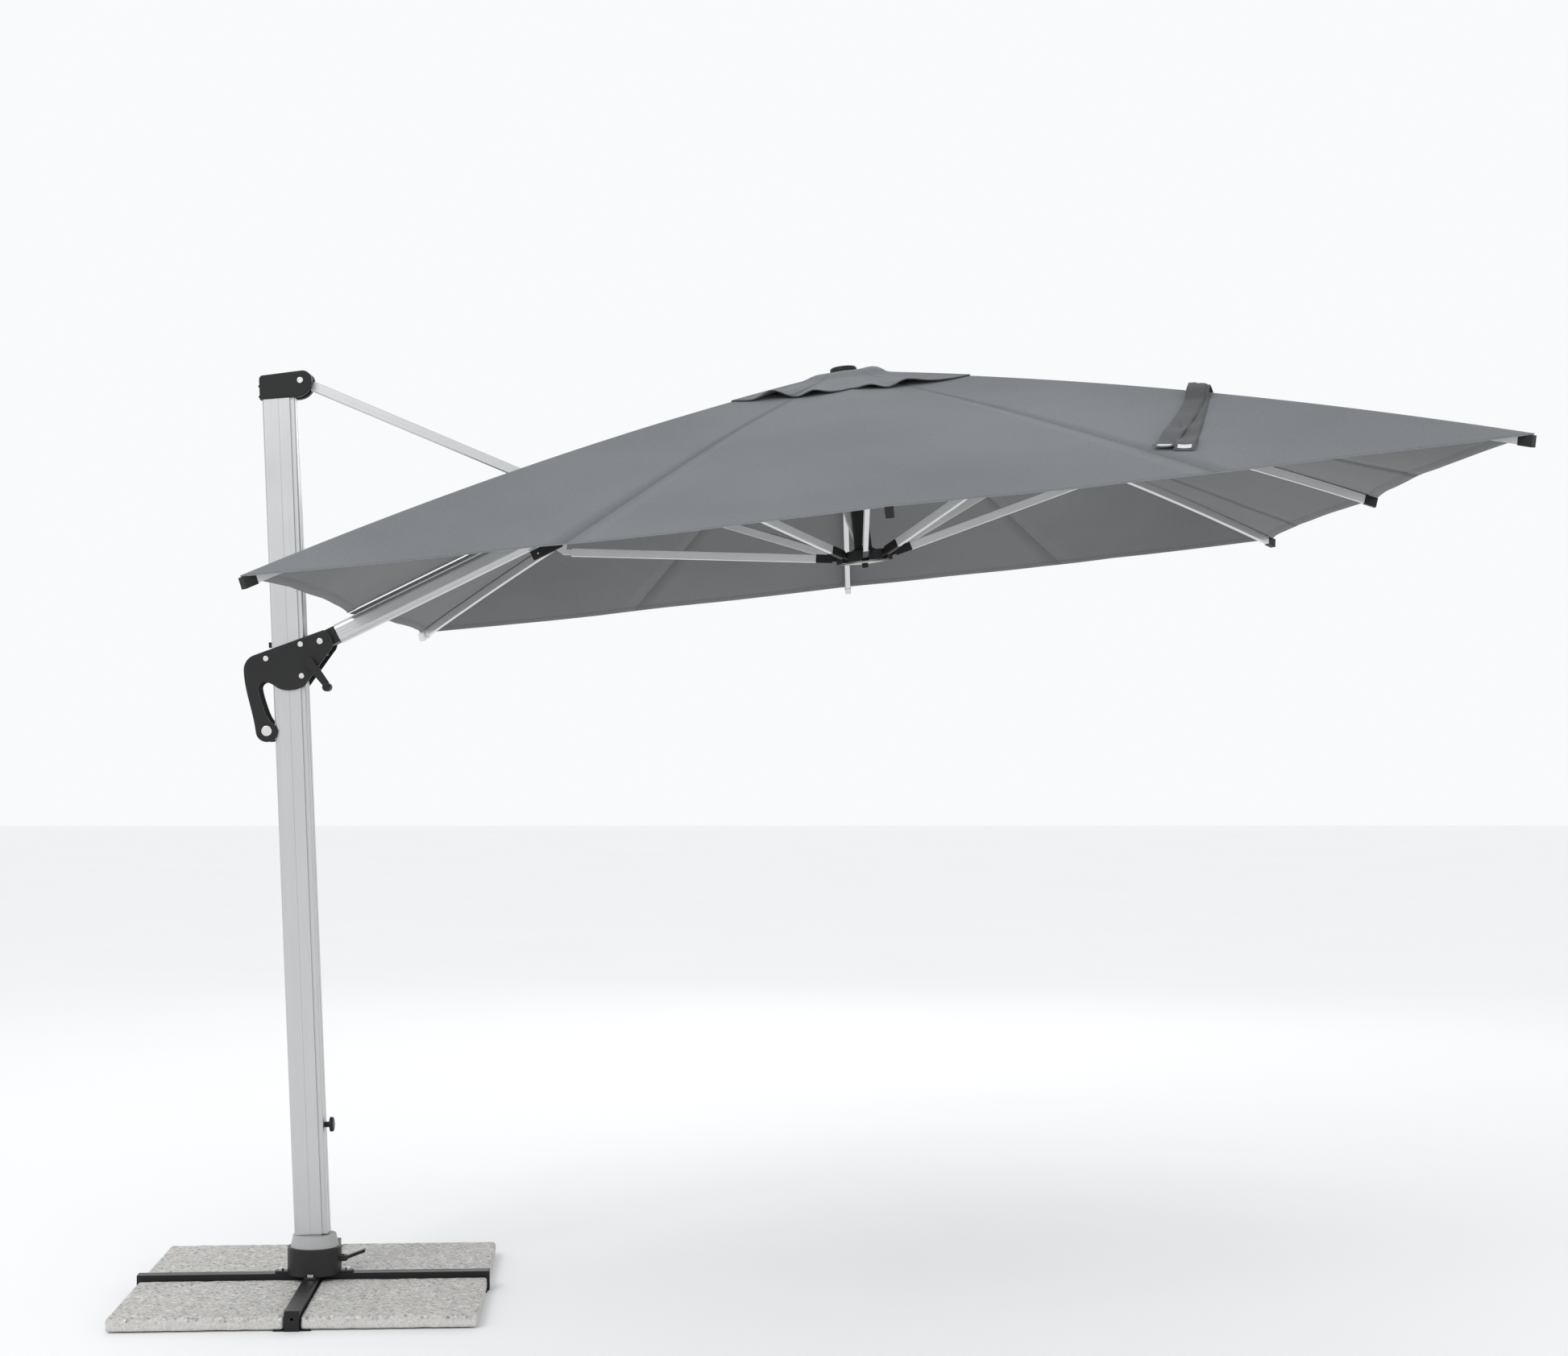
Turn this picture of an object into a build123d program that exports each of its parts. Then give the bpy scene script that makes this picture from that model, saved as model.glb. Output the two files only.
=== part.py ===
from build123d import *
import os
from math import atan2, cos, degrees, hypot, radians, sin, tan

# Cantilever parasol: a square 3 m canopy hung from the outer end of an arm, beside its mast.
# Origin on the floor under the mast, +X towards the canopy, +Z up, millimetres.

# ---- base: a steel cross with four paving slabs in its corners ----
base_turn = 3.19            # degrees the cross is turned about Z from the canopy's plane
cross_length = 1000
bar_width = 40
bar_height = 55
bar_wall = 3
flange_width = 30           # ledge on each side of a bar, which carries the slabs
flange_thick = 3
end_cap_thick = 4
end_cap_hole_r = 4
slab_side = 472
slab_thick = 36
slab_gap = 2
slab_lift = 0.2             # above the ledges
slab_edge_r = 5
collar_r = 76.5
collar_height = 75.5
collar_wall = 10
collar_floor = 6
lug_width = 30
lug_reach = 112
lug_bolt_at = 97
lug_bolt_r = 5
lug_hole_r = 5.2
lug_corner_r = 12
bolt_head_across = 16
bolt_head_height = 7
spigot_r = 20
spigot_height = 97
spigot_play = 1
lever_at = (88, 95)         # x, z of the lever's pin beside the collar
lever_rise = 20
lever_width = 19
lever_length = 56
lever_thick = 8
lever_barrel_r = 8
lever_pin_r = 3
lever_cheek = 4.5
lever_gap = 0.5
lever_ear_r = 7
lever_root_r = 9

# ---- mast: an aluminium extrusion that leans away from the canopy ----
mast_lean = 2.51
mast_pivot_height = 40      # the lean's centre above the floor
mast_depth = 95             # along X
mast_width = 65             # along Y
mast_wall = 3.5
mast_corner_r = 8
mast_start = 128
guide_groove_x = 38
guide_groove_width = 12.4
guide_groove_depth = 6
fine_groove = 1.2
foot_r_low = 68
foot_r_high = 61
foot_low = 131
foot_high = 165
foot_plug_height = 110
foot_plug_root = 10          # how far the plug starts inside the cone
plug_gap = 0.5              # between a plug and the tube it fills
strut_pin = (66, 2578.6)    # x, z of the strut's upper pivot in the mast's frame
cap_half_width = 37
cap_back = -119             # the cap's ends, counted from the strut's pin
cap_front = 32
cap_slot = 24
cap_edge_r = 3
cap_play = 0.2
cap_socket = 100            # depth of the room for the mast's end
cap_bead_r = 4
cap_beads = (-12, -42)      # heights of the two beads on the cap's back
cap_pin_r = 5
cap_roof = 6                # the mast ends this far above the strut's pivot
stud_at = 435
stud_stem_r = 8
stud_stem = 15
stud_head_r = 21
stud_head = 10
stop_at = 1820
stop_depth = 12
stop_half = 8

# ---- slider: two hooked plates that run on the mast ----
arm_pin = (94, 1823.6)      # x, z of the arm's pivot in the mast's frame
plate_inner = 35
plate_thick = 7
plate_edge_r = 2
head_thick = 4
head_edge_r = 1.5
arm_pin_r = 6
arm_head_r = 9
rivet_r = 4
rivet_head_r = 8
roller_at = (-156.7, -43.5)     # these places count from the arm's pivot
roller_r = 15
roller_axle_r = 5
roller_half_width = 22
guide_heights = (-6.4, -97.4)
guide_pad_r = 6
guide_pad_gap = 1           # between a pad and its groove's floor
grip_at = (-162.2, -251.1)
grip_r = 14
grip_axle_r = 8
grip_disc_r = 15
hook_end_r = 32
crank_at = (-29.5, -61)
crank_knob_at = (21.7, -134.4)
crank_shaft_r = 6
crank_boss_r = 14
crank_tip_r = 9
crank_inner = 50
crank_thick = 8
crank_edge_r = 2
shaft_stub = 3              # the crank's shaft beyond the far plate
knob_r = 12
knob_length = 37
knob_stud_r = 4
knob_wall = 4
knob_gap = 0.5
drum_r = 12.5
drum_flange_r = 15
drum_flange = 2
drum_half = 30

# ---- canopy: a square tilted with its outer edge up ----
canopy_tilt = 6.32
canopy_centre = (1580, 2113)    # x, z of the middle of the plane through the ribs' ends
canopy_half = 1500
crown_top = 554                 # along the canopy's axis
crown_drop = 55                 # the arm's axis meets the crown this far below its top
hub_r = 66
hub_low = 495
hub_high = 523
core_r = 30
core_low = 410
core_high = 531
lug_half = 12               # the short rib's lug, across
lug_r = 11
tongue_length = 110         # the hub's tongue in the arm
tongue_overlap = 50
slot_clear = 13             # a hinge slot's depth inside its pivot
slot_half_height = 60
crown_pin_half = 11
crown_cap_r = 39
crown_cap_edge_r = 9
crown_cap_gap = 1
post_low = 24
post_r_low = 26
post_r_high = 19
post_gap = 0.5
rib_pivot = (55, 509)           # radius and height of the ribs' hinges on the crown
short_rib_pivot = (55, 431)
hinge_slot = 10.6
hinge_tab = 10
hinge_pin_r = 3
hinge_bore_r = 3.06
hinge_eye_r = 10
bar_start = 22                  # a rib's or stretcher's bar starts this far from its hinge
solid_end = 14                  # length of solid bar behind a hinge's tab
rib_width = 16
rib_height = 24
rib_wall = 2
rib_bow = 30
rib_end_height = -8
rib_end_gap = 5
rib_cap_length = 36
rib_cap_width = 20
rib_cap_height = 28
joint_radius = 900              # where the stretchers meet the ribs
joint_drop = 30
joint_eye_r = 8
joint_cheek = 3
joint_clip_half = 14            # half of a joint clip's length on the rib
joint_clip_r = 7
clip_foot_r = 4
short_joint_radius = 872
short_rib_end = 955
stretcher_width = 14
stretcher_height = 24
boot_width = 18
inner_tab = 16                  # across the stretchers' inner eyes
boot_length = 48
boot_low = -13
boot_high = 12
boot_edge_r = 3
stretcher_edge_r = 2
runner_pivot = (70, 0)
runner_r = 82
runner_core_r = 42
runner_short_core_r = 14        # the arm side's slot is deeper, for its shorter stretcher
runner_star = (100, 26)         # radius of the notches' centres, and of the notches
runner_low = -16
runner_high = 14
runner_top = 23
runner_top_r = 30
runner_slot = 19.2              # wider than the boots, which pass through as the canopy folds
plate_side = 79
plate_sheet = 3
nut_half = 9
nut_height = 14
nut_edge_r = 3

# ---- arm and strut ----
arm_width = 60
arm_height = 56
arm_corner_r = 16
arm_wall = 3
arm_tube_start = 52
arm_tube_stop = 70              # short of the canopy's axis
fork_r = 24
fork_half_width = 29
fork_tail_r = 42
fork_tail_half = 14
fork_plug = 70
strut_angle = -25.3             # degrees in the mast's frame
strut_height = 29
strut_width = 20
strut_wall = 2
strut_corner_r = 4
strut_neck = 9                  # half height of the necks at the strut's ends
strut_plug = 45
strut_top_bore_r = 6
strut_pivot_rise = 42           # the strut's lower pivot above the arm's axis
strut_eye_r = 11
strut_bolt_r = 5
strut_tube_gap = 34
bracket_length = 64
bracket_cheek = 4
bracket_gap = 1
bracket_foot = (18, 4)          # reach and radius of a cheek's foot
bracket_saddle = 2
bolt_head = 3

# ---- fabric ----
fabric_thick = 1.5
fabric_over_rib = 17.5
fabric_over_corner_rib = 21
fabric_inner_r = 75
fabric_rows = (0.0, 0.25, 0.5, 0.75, 1.0)
seam_gap = 1.5
slit_half = 20
apex_height = 545
edge_height = 2
seam_bow = 0.4              # the seams' rise as a share of the ribs' bow
side_scallop = 28
front_scallop = 6
flap_half = 345
flap_inner_r = 34
flap_shoulder_r = 72        # the flap lies flat over the hub as far as this
flap_height = 530
flap_half_turn = 21         # degrees of the crown under each share of the flap
flap_seam_in = 14
flap_over_ridge = 6
flap_over_seam = 12

fit = 0.06                      # radial clearance of a running fit

# ---- frames of the main assemblies ----
base_frame = Rot(0, 0, base_turn)
mast_frame = Pos(0, 0, mast_pivot_height) * Rot(0, -mast_lean, 0)
slider_frame = mast_frame * Pos(arm_pin[0], 0, arm_pin[1])
canopy_frame = Pos(canopy_centre[0], 0, canopy_centre[1]) * Rot(0, -canopy_tilt, 0)
arm_root = slider_frame.position
arm_head = (canopy_frame * Pos(0, 0, crown_top - crown_drop)).position
arm_length = hypot(arm_head.X - arm_root.X, arm_head.Z - arm_root.Z)
arm_angle = degrees(atan2(arm_head.Z - arm_root.Z, arm_head.X - arm_root.X))
arm_frame = Pos(*arm_root) * Rot(0, -arm_angle, 0)
strut_head = (mast_frame * Pos(strut_pin[0], 0, strut_pin[1])).position


def strut_foot_in_arm():
    """The strut's lower pivot in the arm's frame, where the strut's line reaches the stated rise."""
    head = arm_frame.inverse() * Pos(*strut_head)
    fall = radians(strut_angle + mast_lean - arm_angle)
    run = (head.position.Z - strut_pivot_rise) / -tan(fall)
    return head.position.X + run, strut_pivot_rise


strut_foot_x, strut_foot_z = strut_foot_in_arm()
strut_foot = (arm_frame * Pos(strut_foot_x, 0, strut_foot_z)).position
strut_length = hypot(strut_foot.X - strut_head.X, strut_foot.Z - strut_head.Z)
strut_slope = degrees(atan2(strut_foot.Z - strut_head.Z, strut_foot.X - strut_head.X))
strut_frame = Pos(*strut_head) * Rot(0, -strut_slope, 0)

# Each rib's name and its direction about the canopy's axis, in degrees from +X.
full_ribs = {
    "right": 0,
    "back_right": 45,
    "back": 90,
    "back_left": 135,
    "front_left": 225,
    "front": 270,
    "front_right": 315,
}
short_rib = {"arm_side": 180}


# ---- shared helpers ----
def pin_y(x, z, radius, y_low, y_high):
    """A round bar along Y."""
    return Pos(x, (y_low + y_high) / 2, z) * Rot(90, 0, 0) * Cylinder(radius, y_high - y_low)


def side_plate(sketch, y_low, y_high):
    """A sketch whose X and Y become X and Z, given thickness along Y."""
    thick = (y_high - y_low) / 2
    return Pos(0, (y_low + y_high) / 2, 0) * Rot(90, 0, 0) * extrude(sketch, thick, both=True)


def block(x_low, x_high, y_low, y_high, z_low, z_high):
    """A box from its limits."""
    middle = Pos((x_low + x_high) / 2, (y_low + y_high) / 2, (z_low + z_high) / 2)
    return middle * Box(x_high - x_low, y_high - y_low, z_high - z_low)


def hull_of(*circles):
    """The flat shape wrapped round circles given as (x, y, radius)."""
    edges = [edge for x, y, r in circles for edge in (Pos(x, y) * Circle(r)).edges()]
    return make_hull(edges)


def joined(*shapes):
    """Several shapes as one group."""
    return Compound(children=[solid for shape in shapes for solid in shape.solids()])


# ---- base ----
def base_cross():
    half = cross_length / 2 - end_cap_thick
    bars = Pos(0, 0, bar_height / 2) * (
        Box(2 * half, bar_width, bar_height) + Box(bar_width, 2 * half, bar_height)
    )
    reach = bar_width / 2 + flange_width
    ledges = block(-half, half, -reach, reach, 0, flange_thick)
    ledges += block(-reach, reach, -half, half, 0, flange_thick)
    inside_w, inside_h = bar_width - 2 * bar_wall, bar_height - 2 * bar_wall
    hollow = Pos(0, 0, bar_height / 2) * (
        Box(3 * half, inside_w, inside_h) + Box(inside_w, 3 * half, inside_h)
    )
    cross = bars + ledges - hollow
    for turn in range(4):
        cross -= Rot(0, 0, 90 * turn) * Pos(lug_bolt_at, 0, bar_height) * Cylinder(lug_hole_r, 4 * bar_wall)
    return cross


def cross_end_caps():
    out = cross_length / 2
    cap = block(out - end_cap_thick, out, -bar_width / 2, bar_width / 2, 0, bar_height)
    cap -= Pos(out, 0, bar_height * 0.6) * Rot(0, 90, 0) * Cylinder(end_cap_hole_r, 4 * end_cap_thick)
    return joined(*[Rot(0, 0, 90 * turn) * cap for turn in range(4)])


def slab(x_sign, y_sign):
    middle = bar_width / 2 + slab_gap + slab_side / 2
    height = flange_thick + slab_lift + slab_thick / 2
    body = Box(slab_side, slab_side, slab_thick)
    body = fillet(body.edges(), slab_edge_r)
    return Pos(x_sign * middle, y_sign * middle, height) * body


def base_collar():
    low, high = bar_height, bar_height + collar_height
    ring = Pos(0, 0, (low + high) / 2) * Cylinder(collar_r, collar_height)
    room_low, room_high = low + collar_floor, high - collar_wall
    ring -= Pos(0, 0, (room_low + room_high) / 2) * Cylinder(collar_r - collar_wall, room_high - room_low)
    ring -= Pos(0, 0, low) * Cylinder(spigot_r, 3 * collar_floor)
    ring -= Pos(0, 0, high) * Cylinder(spigot_r + spigot_play, 3 * collar_wall)
    half = lug_width / 2
    for turn in range(4):
        lug = block(collar_r - collar_wall / 2, lug_reach, -half, half, low, low + collar_floor)
        lug = fillet(lug.edges().filter_by(Axis.Z).group_by(Axis.X)[-1], lug_corner_r)
        lug -= Pos(lug_bolt_at, 0, low) * Cylinder(lug_hole_r, 3 * collar_floor)
        ring += Rot(0, 0, 90 * turn) * lug
    x, z = lever_at
    gap = lever_width / 2 + lever_gap
    ear = hull_of((x, z, lever_ear_r), (collar_r - lever_ear_r, z, lever_root_r))
    for side in (-1, 1):
        cheek = side_plate(ear, gap, gap + lever_cheek)
        ring += cheek if side > 0 else mirror(cheek, Plane.XZ)
    return ring + pin_y(x, z, lever_pin_r, -gap - fit, gap + fit)


def collar_bolts():
    seat = bar_height + collar_floor
    hexagon = RegularPolygon(bolt_head_across / 2, 6, major_radius=False)
    head = Pos(0, 0, seat) * extrude(hexagon, bolt_head_height)
    shank_low = bar_height - bar_wall
    shank = Pos(0, 0, (shank_low + seat) / 2) * Cylinder(lug_bolt_r, seat - shank_low)
    bolt = Pos(lug_bolt_at, 0, 0) * (head + shank)
    return joined(*[Rot(0, 0, 90 * turn) * bolt for turn in range(4)])


def swivel_spigot():
    return Pos(0, 0, bar_height + spigot_height / 2) * Cylinder(spigot_r, spigot_height)


def lock_lever():
    x, z = lever_at
    blade = hull_of((0, 0, lever_thick / 2), (lever_length, 0, lever_thick / 2))
    half = lever_width / 2
    lever = Pos(x, 0, z) * Rot(0, -lever_rise, 0) * side_plate(blade, -half, half)
    lever += pin_y(x, z, lever_barrel_r, -half, half)
    return lever - pin_y(x, z, lever_pin_r + fit, -lever_width, lever_width)


# ---- mast ----
def mast_section():
    outline = RectangleRounded(mast_depth, mast_width, mast_corner_r)
    half_w = mast_width / 2
    inner_x = mast_depth / 2 - mast_wall
    groove_start = guide_groove_x - guide_groove_width / 2 - mast_wall
    room_w = mast_width - 2 * mast_wall
    main_room = Pos((groove_start - inner_x) / 2, 0) * Rectangle(groove_start + inner_x, room_w)
    side_room = Pos((groove_start + inner_x) / 2, 0) * Rectangle(
        inner_x - groove_start, room_w - 2 * guide_groove_depth
    )
    outline -= main_room + side_room
    for side in (-1, 1):
        groove = Rectangle(guide_groove_width, 2 * guide_groove_depth)
        outline -= Pos(guide_groove_x, side * half_w) * groove
        outline -= Pos(0, side * half_w) * Rectangle(2 * fine_groove, 2 * fine_groove)
        outline -= Pos(side * mast_depth / 2, 0) * Rectangle(2 * fine_groove, 4 * fine_groove)
    return outline


def mast_tube():
    top = strut_pin[1] + cap_roof
    return mast_frame * Pos(0, 0, mast_start) * extrude(mast_section(), top - mast_start)


def mast_foot():
    cone = Pos(0, 0, (foot_low + foot_high) / 2) * Cone(foot_r_low, foot_r_high, foot_high - foot_low)
    plug_x = guide_groove_x - guide_groove_width / 2 - mast_wall - plug_gap
    inner_x = mast_depth / 2 - mast_wall - plug_gap
    inner_y = mast_width / 2 - mast_wall - plug_gap
    start = foot_high - mast_pivot_height - foot_plug_root
    plug = mast_frame * block(-inner_x, plug_x, -inner_y, inner_y, start, start + foot_plug_height)
    bore_high = bar_height + spigot_height + spigot_play
    bore = Pos(0, 0, bore_high / 2) * Cylinder(spigot_r + fit, bore_high)
    return cone + plug - bore


def cap_profile():
    """The top cap from the side, counted from the strut's pin."""
    back, front = cap_back, cap_front
    points = [(back, -51), (-22, -47.5)]
    lower = Line(points[0], points[1])
    belly = ThreePointArc(points[1], (20, -31), (front, 2))
    nose = ThreePointArc((front, 2), (24, 21), (5, 28.5))
    roof = Line((5, 28.5), (back + 12, 19))
    shoulder = ThreePointArc((back + 12, 19), (back + 3, 15), (back, 6))
    rear = Line((back, 6), points[0])
    return make_face([lower, belly, nose, roof, shoulder, rear])


def mast_cap():
    cap = side_plate(cap_profile(), -cap_half_width, cap_half_width)
    cap = fillet(cap.edges().group_by(Axis.Y)[0], cap_edge_r)
    cap = fillet(cap.edges().group_by(Axis.Y)[-1], cap_edge_r)
    bead_half = cap_half_width - 2 * cap_bead_r
    for height in cap_beads:
        cap += pin_y(cap_back, height, cap_bead_r, -bead_half, bead_half)
    room = Pos(-strut_pin[0], 0, cap_roof - cap_socket) * extrude(
        RectangleRounded(mast_depth + cap_play, mast_width + cap_play, mast_corner_r), cap_socket
    )
    slot_start = mast_depth / 2 - strut_pin[0] + cap_play
    slot_half = cap_slot / 2
    cap -= room + block(slot_start, 2 * cap_front, -slot_half, slot_half, -cap_socket, cap_socket)
    for side in (-1, 1):
        low, high = sorted((0, side * 2 * cap_half_width))
        cap -= pin_y(0, 0, cap_pin_r, low, high)
    return mast_frame * Pos(strut_pin[0], 0, strut_pin[1]) * cap


def cap_pins():
    stub = pin_y(0, 0, cap_pin_r, cap_slot / 2, cap_half_width)
    stub += pin_y(0, 0, arm_head_r, cap_half_width, cap_half_width + head_thick)
    stub = fillet(stub.edges().group_by(Axis.Y)[-1], head_edge_r)
    return mast_frame * Pos(strut_pin[0], 0, strut_pin[1]) * joined(stub, mirror(stub, Plane.XZ))


def mast_stud():
    face = mast_depth / 2
    outwards = Rot(0, 90, 0)
    stem = Pos(face + stud_stem / 2, 0, stud_at) * outwards * Cylinder(stud_stem_r, stud_stem)
    head = Pos(face + stud_stem + stud_head / 2, 0, stud_at) * outwards * Cylinder(stud_head_r, stud_head)
    head = fillet(head.edges().group_by(Axis.X)[-1], stud_head * 0.45)
    return mast_frame * (stem + head)


def mast_stop():
    back, half = -mast_depth / 2, stop_half
    return mast_frame * block(back - stop_depth, back, -half, half, stop_at - half, stop_at + half)


# ---- slider ----
def hook_outline():
    """The plate from the side, counted from the arm's pin: a lobe, a shoulder and a hanging hook."""
    top = Line((10, 31.5), (-194, -33))
    shoulder = ThreePointArc((-194, -33), (-214, -49), (-222, -76))
    outer = Spline((-222, -76), (-216, -135), (-194.2, -253), tangents=((0, -1), (0.1, -1)))
    hook_end = ThreePointArc((-194.2, -253), (grip_at[0], grip_at[1] - hook_end_r), (-131, -256))
    inner = Spline((-131, -256), (-150, -226), (-173, -176), (-184, -126), tangents=((0, 1), (-0.1, 1)))
    notch = ThreePointArc((-184, -126), (-177, -114), (-160, -112))
    belly = Spline((-160, -112), (-125, -130), (-85, -137), (-48, -125), tangents=((1, -0.1), (0.85, 0.5)))
    rise = Line((-48, -125), (26, -30))
    lobe = ThreePointArc((26, -30), (36.5, 2), (10, 31.5))
    return make_face([top, shoulder, outer, hook_end, inner, notch, belly, rise, lobe])


def slider_plate(side):
    plate = side_plate(hook_outline(), plate_inner, plate_inner + plate_thick)
    plate = fillet(plate.edges().group_by(Axis.Y)[-1], plate_edge_r)
    holes = [(0, 0, arm_pin_r), (*roller_at, roller_axle_r), (*grip_at, grip_axle_r)]
    holes += [(guide_groove_x - arm_pin[0], height, rivet_r) for height in guide_heights]
    holes += [(*crank_at, crank_shaft_r + fit)]
    for x, z, radius in holes:
        plate -= pin_y(x, z, radius, 0, 3 * plate_inner)
    if side < 0:
        plate = mirror(plate, Plane.XZ)
    return slider_frame * plate


pad_end = mast_width / 2 - guide_groove_depth + guide_pad_gap


def headed_pin(x, z, radius, head_r, inner):
    """A pin from the inner face out to a domed head on the plate's outside."""
    outside = plate_inner + plate_thick
    pin = pin_y(x, z, radius, inner, outside)
    head = pin_y(x, z, head_r, outside, outside + head_thick)
    return pin + fillet(head.edges().group_by(Axis.Y)[-1], head_edge_r)


def slider_pins():
    through = []
    for (x, z), radius, head_r in (
        ((0, 0), arm_pin_r, arm_head_r),
        (roller_at, roller_axle_r, rivet_head_r),
        (grip_at, grip_axle_r, grip_disc_r),
    ):
        half = headed_pin(x, z, radius, head_r, 0)
        through.append(half + mirror(half, Plane.XZ))
    stubs = []
    for height in guide_heights:
        stub = headed_pin(guide_groove_x - arm_pin[0], height, rivet_r, rivet_head_r, pad_end)
        stubs += [stub, mirror(stub, Plane.XZ)]
    return slider_frame * joined(*through, *stubs)


def guide_pads():
    pads = []
    for height in guide_heights:
        x = guide_groove_x - arm_pin[0]
        pad = pin_y(x, height, guide_pad_r, pad_end, plate_inner)
        pad -= pin_y(x, height, rivet_r, 0, 2 * plate_inner)
        pads += [pad, mirror(pad, Plane.XZ)]
    return slider_frame * joined(*pads)


def back_roller():
    roller = pin_y(*roller_at, roller_r, -roller_half_width, roller_half_width)
    roller -= pin_y(*roller_at, roller_axle_r + fit, -plate_inner, plate_inner)
    return slider_frame * roller


def grip_bar():
    bar = pin_y(*grip_at, grip_r, -plate_inner, plate_inner)
    return slider_frame * (bar - pin_y(*grip_at, grip_axle_r, -2 * plate_inner, 2 * plate_inner))


def winch_drum():
    x, z = crank_at
    drum = pin_y(x, z, drum_r, -drum_half, drum_half)
    for side in (-1, 1):
        low, high = sorted((side * drum_half, side * (drum_half + drum_flange)))
        drum += pin_y(x, z, drum_flange_r, low, high)
    outside = plate_inner + plate_thick
    return slider_frame * (drum + pin_y(x, z, crank_shaft_r, -crank_inner, outside + shaft_stub))


def crank_arm():
    (x, z), (end_x, end_z) = crank_at, crank_knob_at
    outside = -crank_inner - crank_thick
    outline = hull_of((x, z, crank_boss_r), (end_x, end_z, crank_tip_r))
    arm = side_plate(outline, outside, -crank_inner)
    arm = fillet(arm.edges().group_by(Axis.Y)[0], crank_edge_r)
    stud_end = outside - knob_length + knob_wall
    return slider_frame * (arm + pin_y(end_x, end_z, knob_stud_r, stud_end, outside))


def crank_knob():
    x, z = crank_knob_at
    start = -crank_inner - crank_thick - knob_gap
    knob = pin_y(x, z, knob_r, start - knob_length, start)
    knob = fillet(knob.edges().group_by(Axis.Y)[0], knob_wall)
    knob -= pin_y(x, z, knob_stud_r + fit, start - knob_length + knob_wall, start + knob_gap)
    return slider_frame * knob


# ---- arm ----
def arm_section(shrink):
    """The arm's outline, smaller by shrink on every side."""
    return RectangleRounded(arm_height - 2 * shrink, arm_width - 2 * shrink, arm_corner_r - shrink)


def arm_tube():
    """An oval extrusion with fine grooves along both flanks."""
    section = arm_section(0) - arm_section(arm_wall)
    for side in (-1, 1):
        for height in (-9, 0, 9):
            section -= Pos(height, side * arm_width / 2) * Rectangle(2 * fine_groove, 2 * fine_groove)
    length = arm_length - arm_tube_stop - arm_tube_start
    return arm_frame * Pos(arm_tube_start, 0, 0) * Rot(0, 90, 0) * extrude(section, length)


def arm_fork():
    """The casting in the arm's lower end: a hinge barrel, a quadrant tail and a plug in the tube."""
    barrel = pin_y(0, 0, fork_r, -fork_half_width, fork_half_width)
    half, reach = fork_tail_half, 2 * fork_tail_r
    tail = pin_y(0, 0, fork_tail_r, -half, half) & block(-reach, 0, -half, half, -reach, 0)
    neck = block(0, arm_tube_start, -fork_half_width, fork_half_width, -fork_r, fork_r)
    plug = Pos(arm_tube_start, 0, 0) * Rot(0, 90, 0) * extrude(arm_section(arm_wall + plug_gap), fork_plug)
    fork = barrel + tail + neck + plug
    return arm_frame * (fork - pin_y(0, 0, arm_pin_r + fit, -plate_inner, plate_inner))


def strut_bracket():
    """Two cheeks on a saddle on top of the arm, for the strut's lower bolt."""
    x, z = strut_foot_x, strut_foot_z
    inner = strut_width / 2 + bracket_gap
    reach, foot_r = bracket_foot
    foot_z = arm_height / 2 + foot_r
    outline = hull_of((x, z, strut_eye_r), (x - reach, foot_z, foot_r), (x + reach, foot_z, foot_r))
    outer = inner + bracket_cheek
    cheek = side_plate(outline, inner, outer)
    half = bracket_length / 2
    low = arm_height / 2
    saddle = block(x - half, x + half, -outer, outer, low, low + bracket_saddle)
    bracket = cheek + mirror(cheek, Plane.XZ) + saddle
    return arm_frame * (bracket - pin_y(x, z, strut_bolt_r, -arm_width, arm_width))


def strut_bolt():
    x, z = strut_foot_x, strut_foot_z
    out = strut_width / 2 + bracket_gap + bracket_cheek
    bolt = pin_y(x, z, strut_bolt_r, -out, out)
    for side in (-1, 1):
        low, high = sorted((side * out, side * (out + bolt_head)))
        bolt += pin_y(x, z, strut_bolt_r + bolt_head, low, high)
    return arm_frame * bolt


def strut_tube():
    start, stop = strut_tube_gap, strut_length - strut_tube_gap
    half_w, half_h = strut_width / 2, strut_height / 2
    tube = block(start, stop, -half_w, half_w, -half_h, half_h)
    tube = fillet(tube.edges().filter_by(Axis.X), strut_corner_r)
    inner_w, inner_h = half_w - strut_wall, half_h - strut_wall
    return strut_frame * (tube - block(0, strut_length, -inner_w, inner_w, -inner_h, inner_h))


def strut_end(bore_r):
    """An eye and a plug, with the eye at the origin and the strut along +X."""
    half_w = strut_width / 2 - plug_gap
    inner_w = strut_width / 2 - strut_wall - plug_gap
    inner_h = strut_height / 2 - strut_wall - plug_gap
    end = pin_y(0, 0, strut_eye_r, -half_w, half_w)
    end += block(0, strut_tube_gap, -half_w, half_w, -strut_neck, strut_neck)
    plug_end = strut_tube_gap + strut_plug
    end += block(strut_tube_gap - strut_wall, plug_end, -inner_w, inner_w, -inner_h, inner_h)
    return end - pin_y(0, 0, bore_r, -strut_width, strut_width)


def strut_ends():
    upper = strut_end(strut_top_bore_r)
    lower = Pos(strut_length, 0, 0) * Rot(0, 180, 0) * strut_end(strut_bolt_r + fit)
    return strut_frame * joined(upper, lower)


# ---- crown ----
def hinge_slot_cut(azimuth, radius, height, width, outside):
    """A slot open outwards, from well below the given height to well above it."""
    low, high = height - slot_half_height, height + slot_half_height
    return Rot(0, 0, azimuth) * block(radius, outside, -width / 2, width / 2, low, high)


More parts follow.
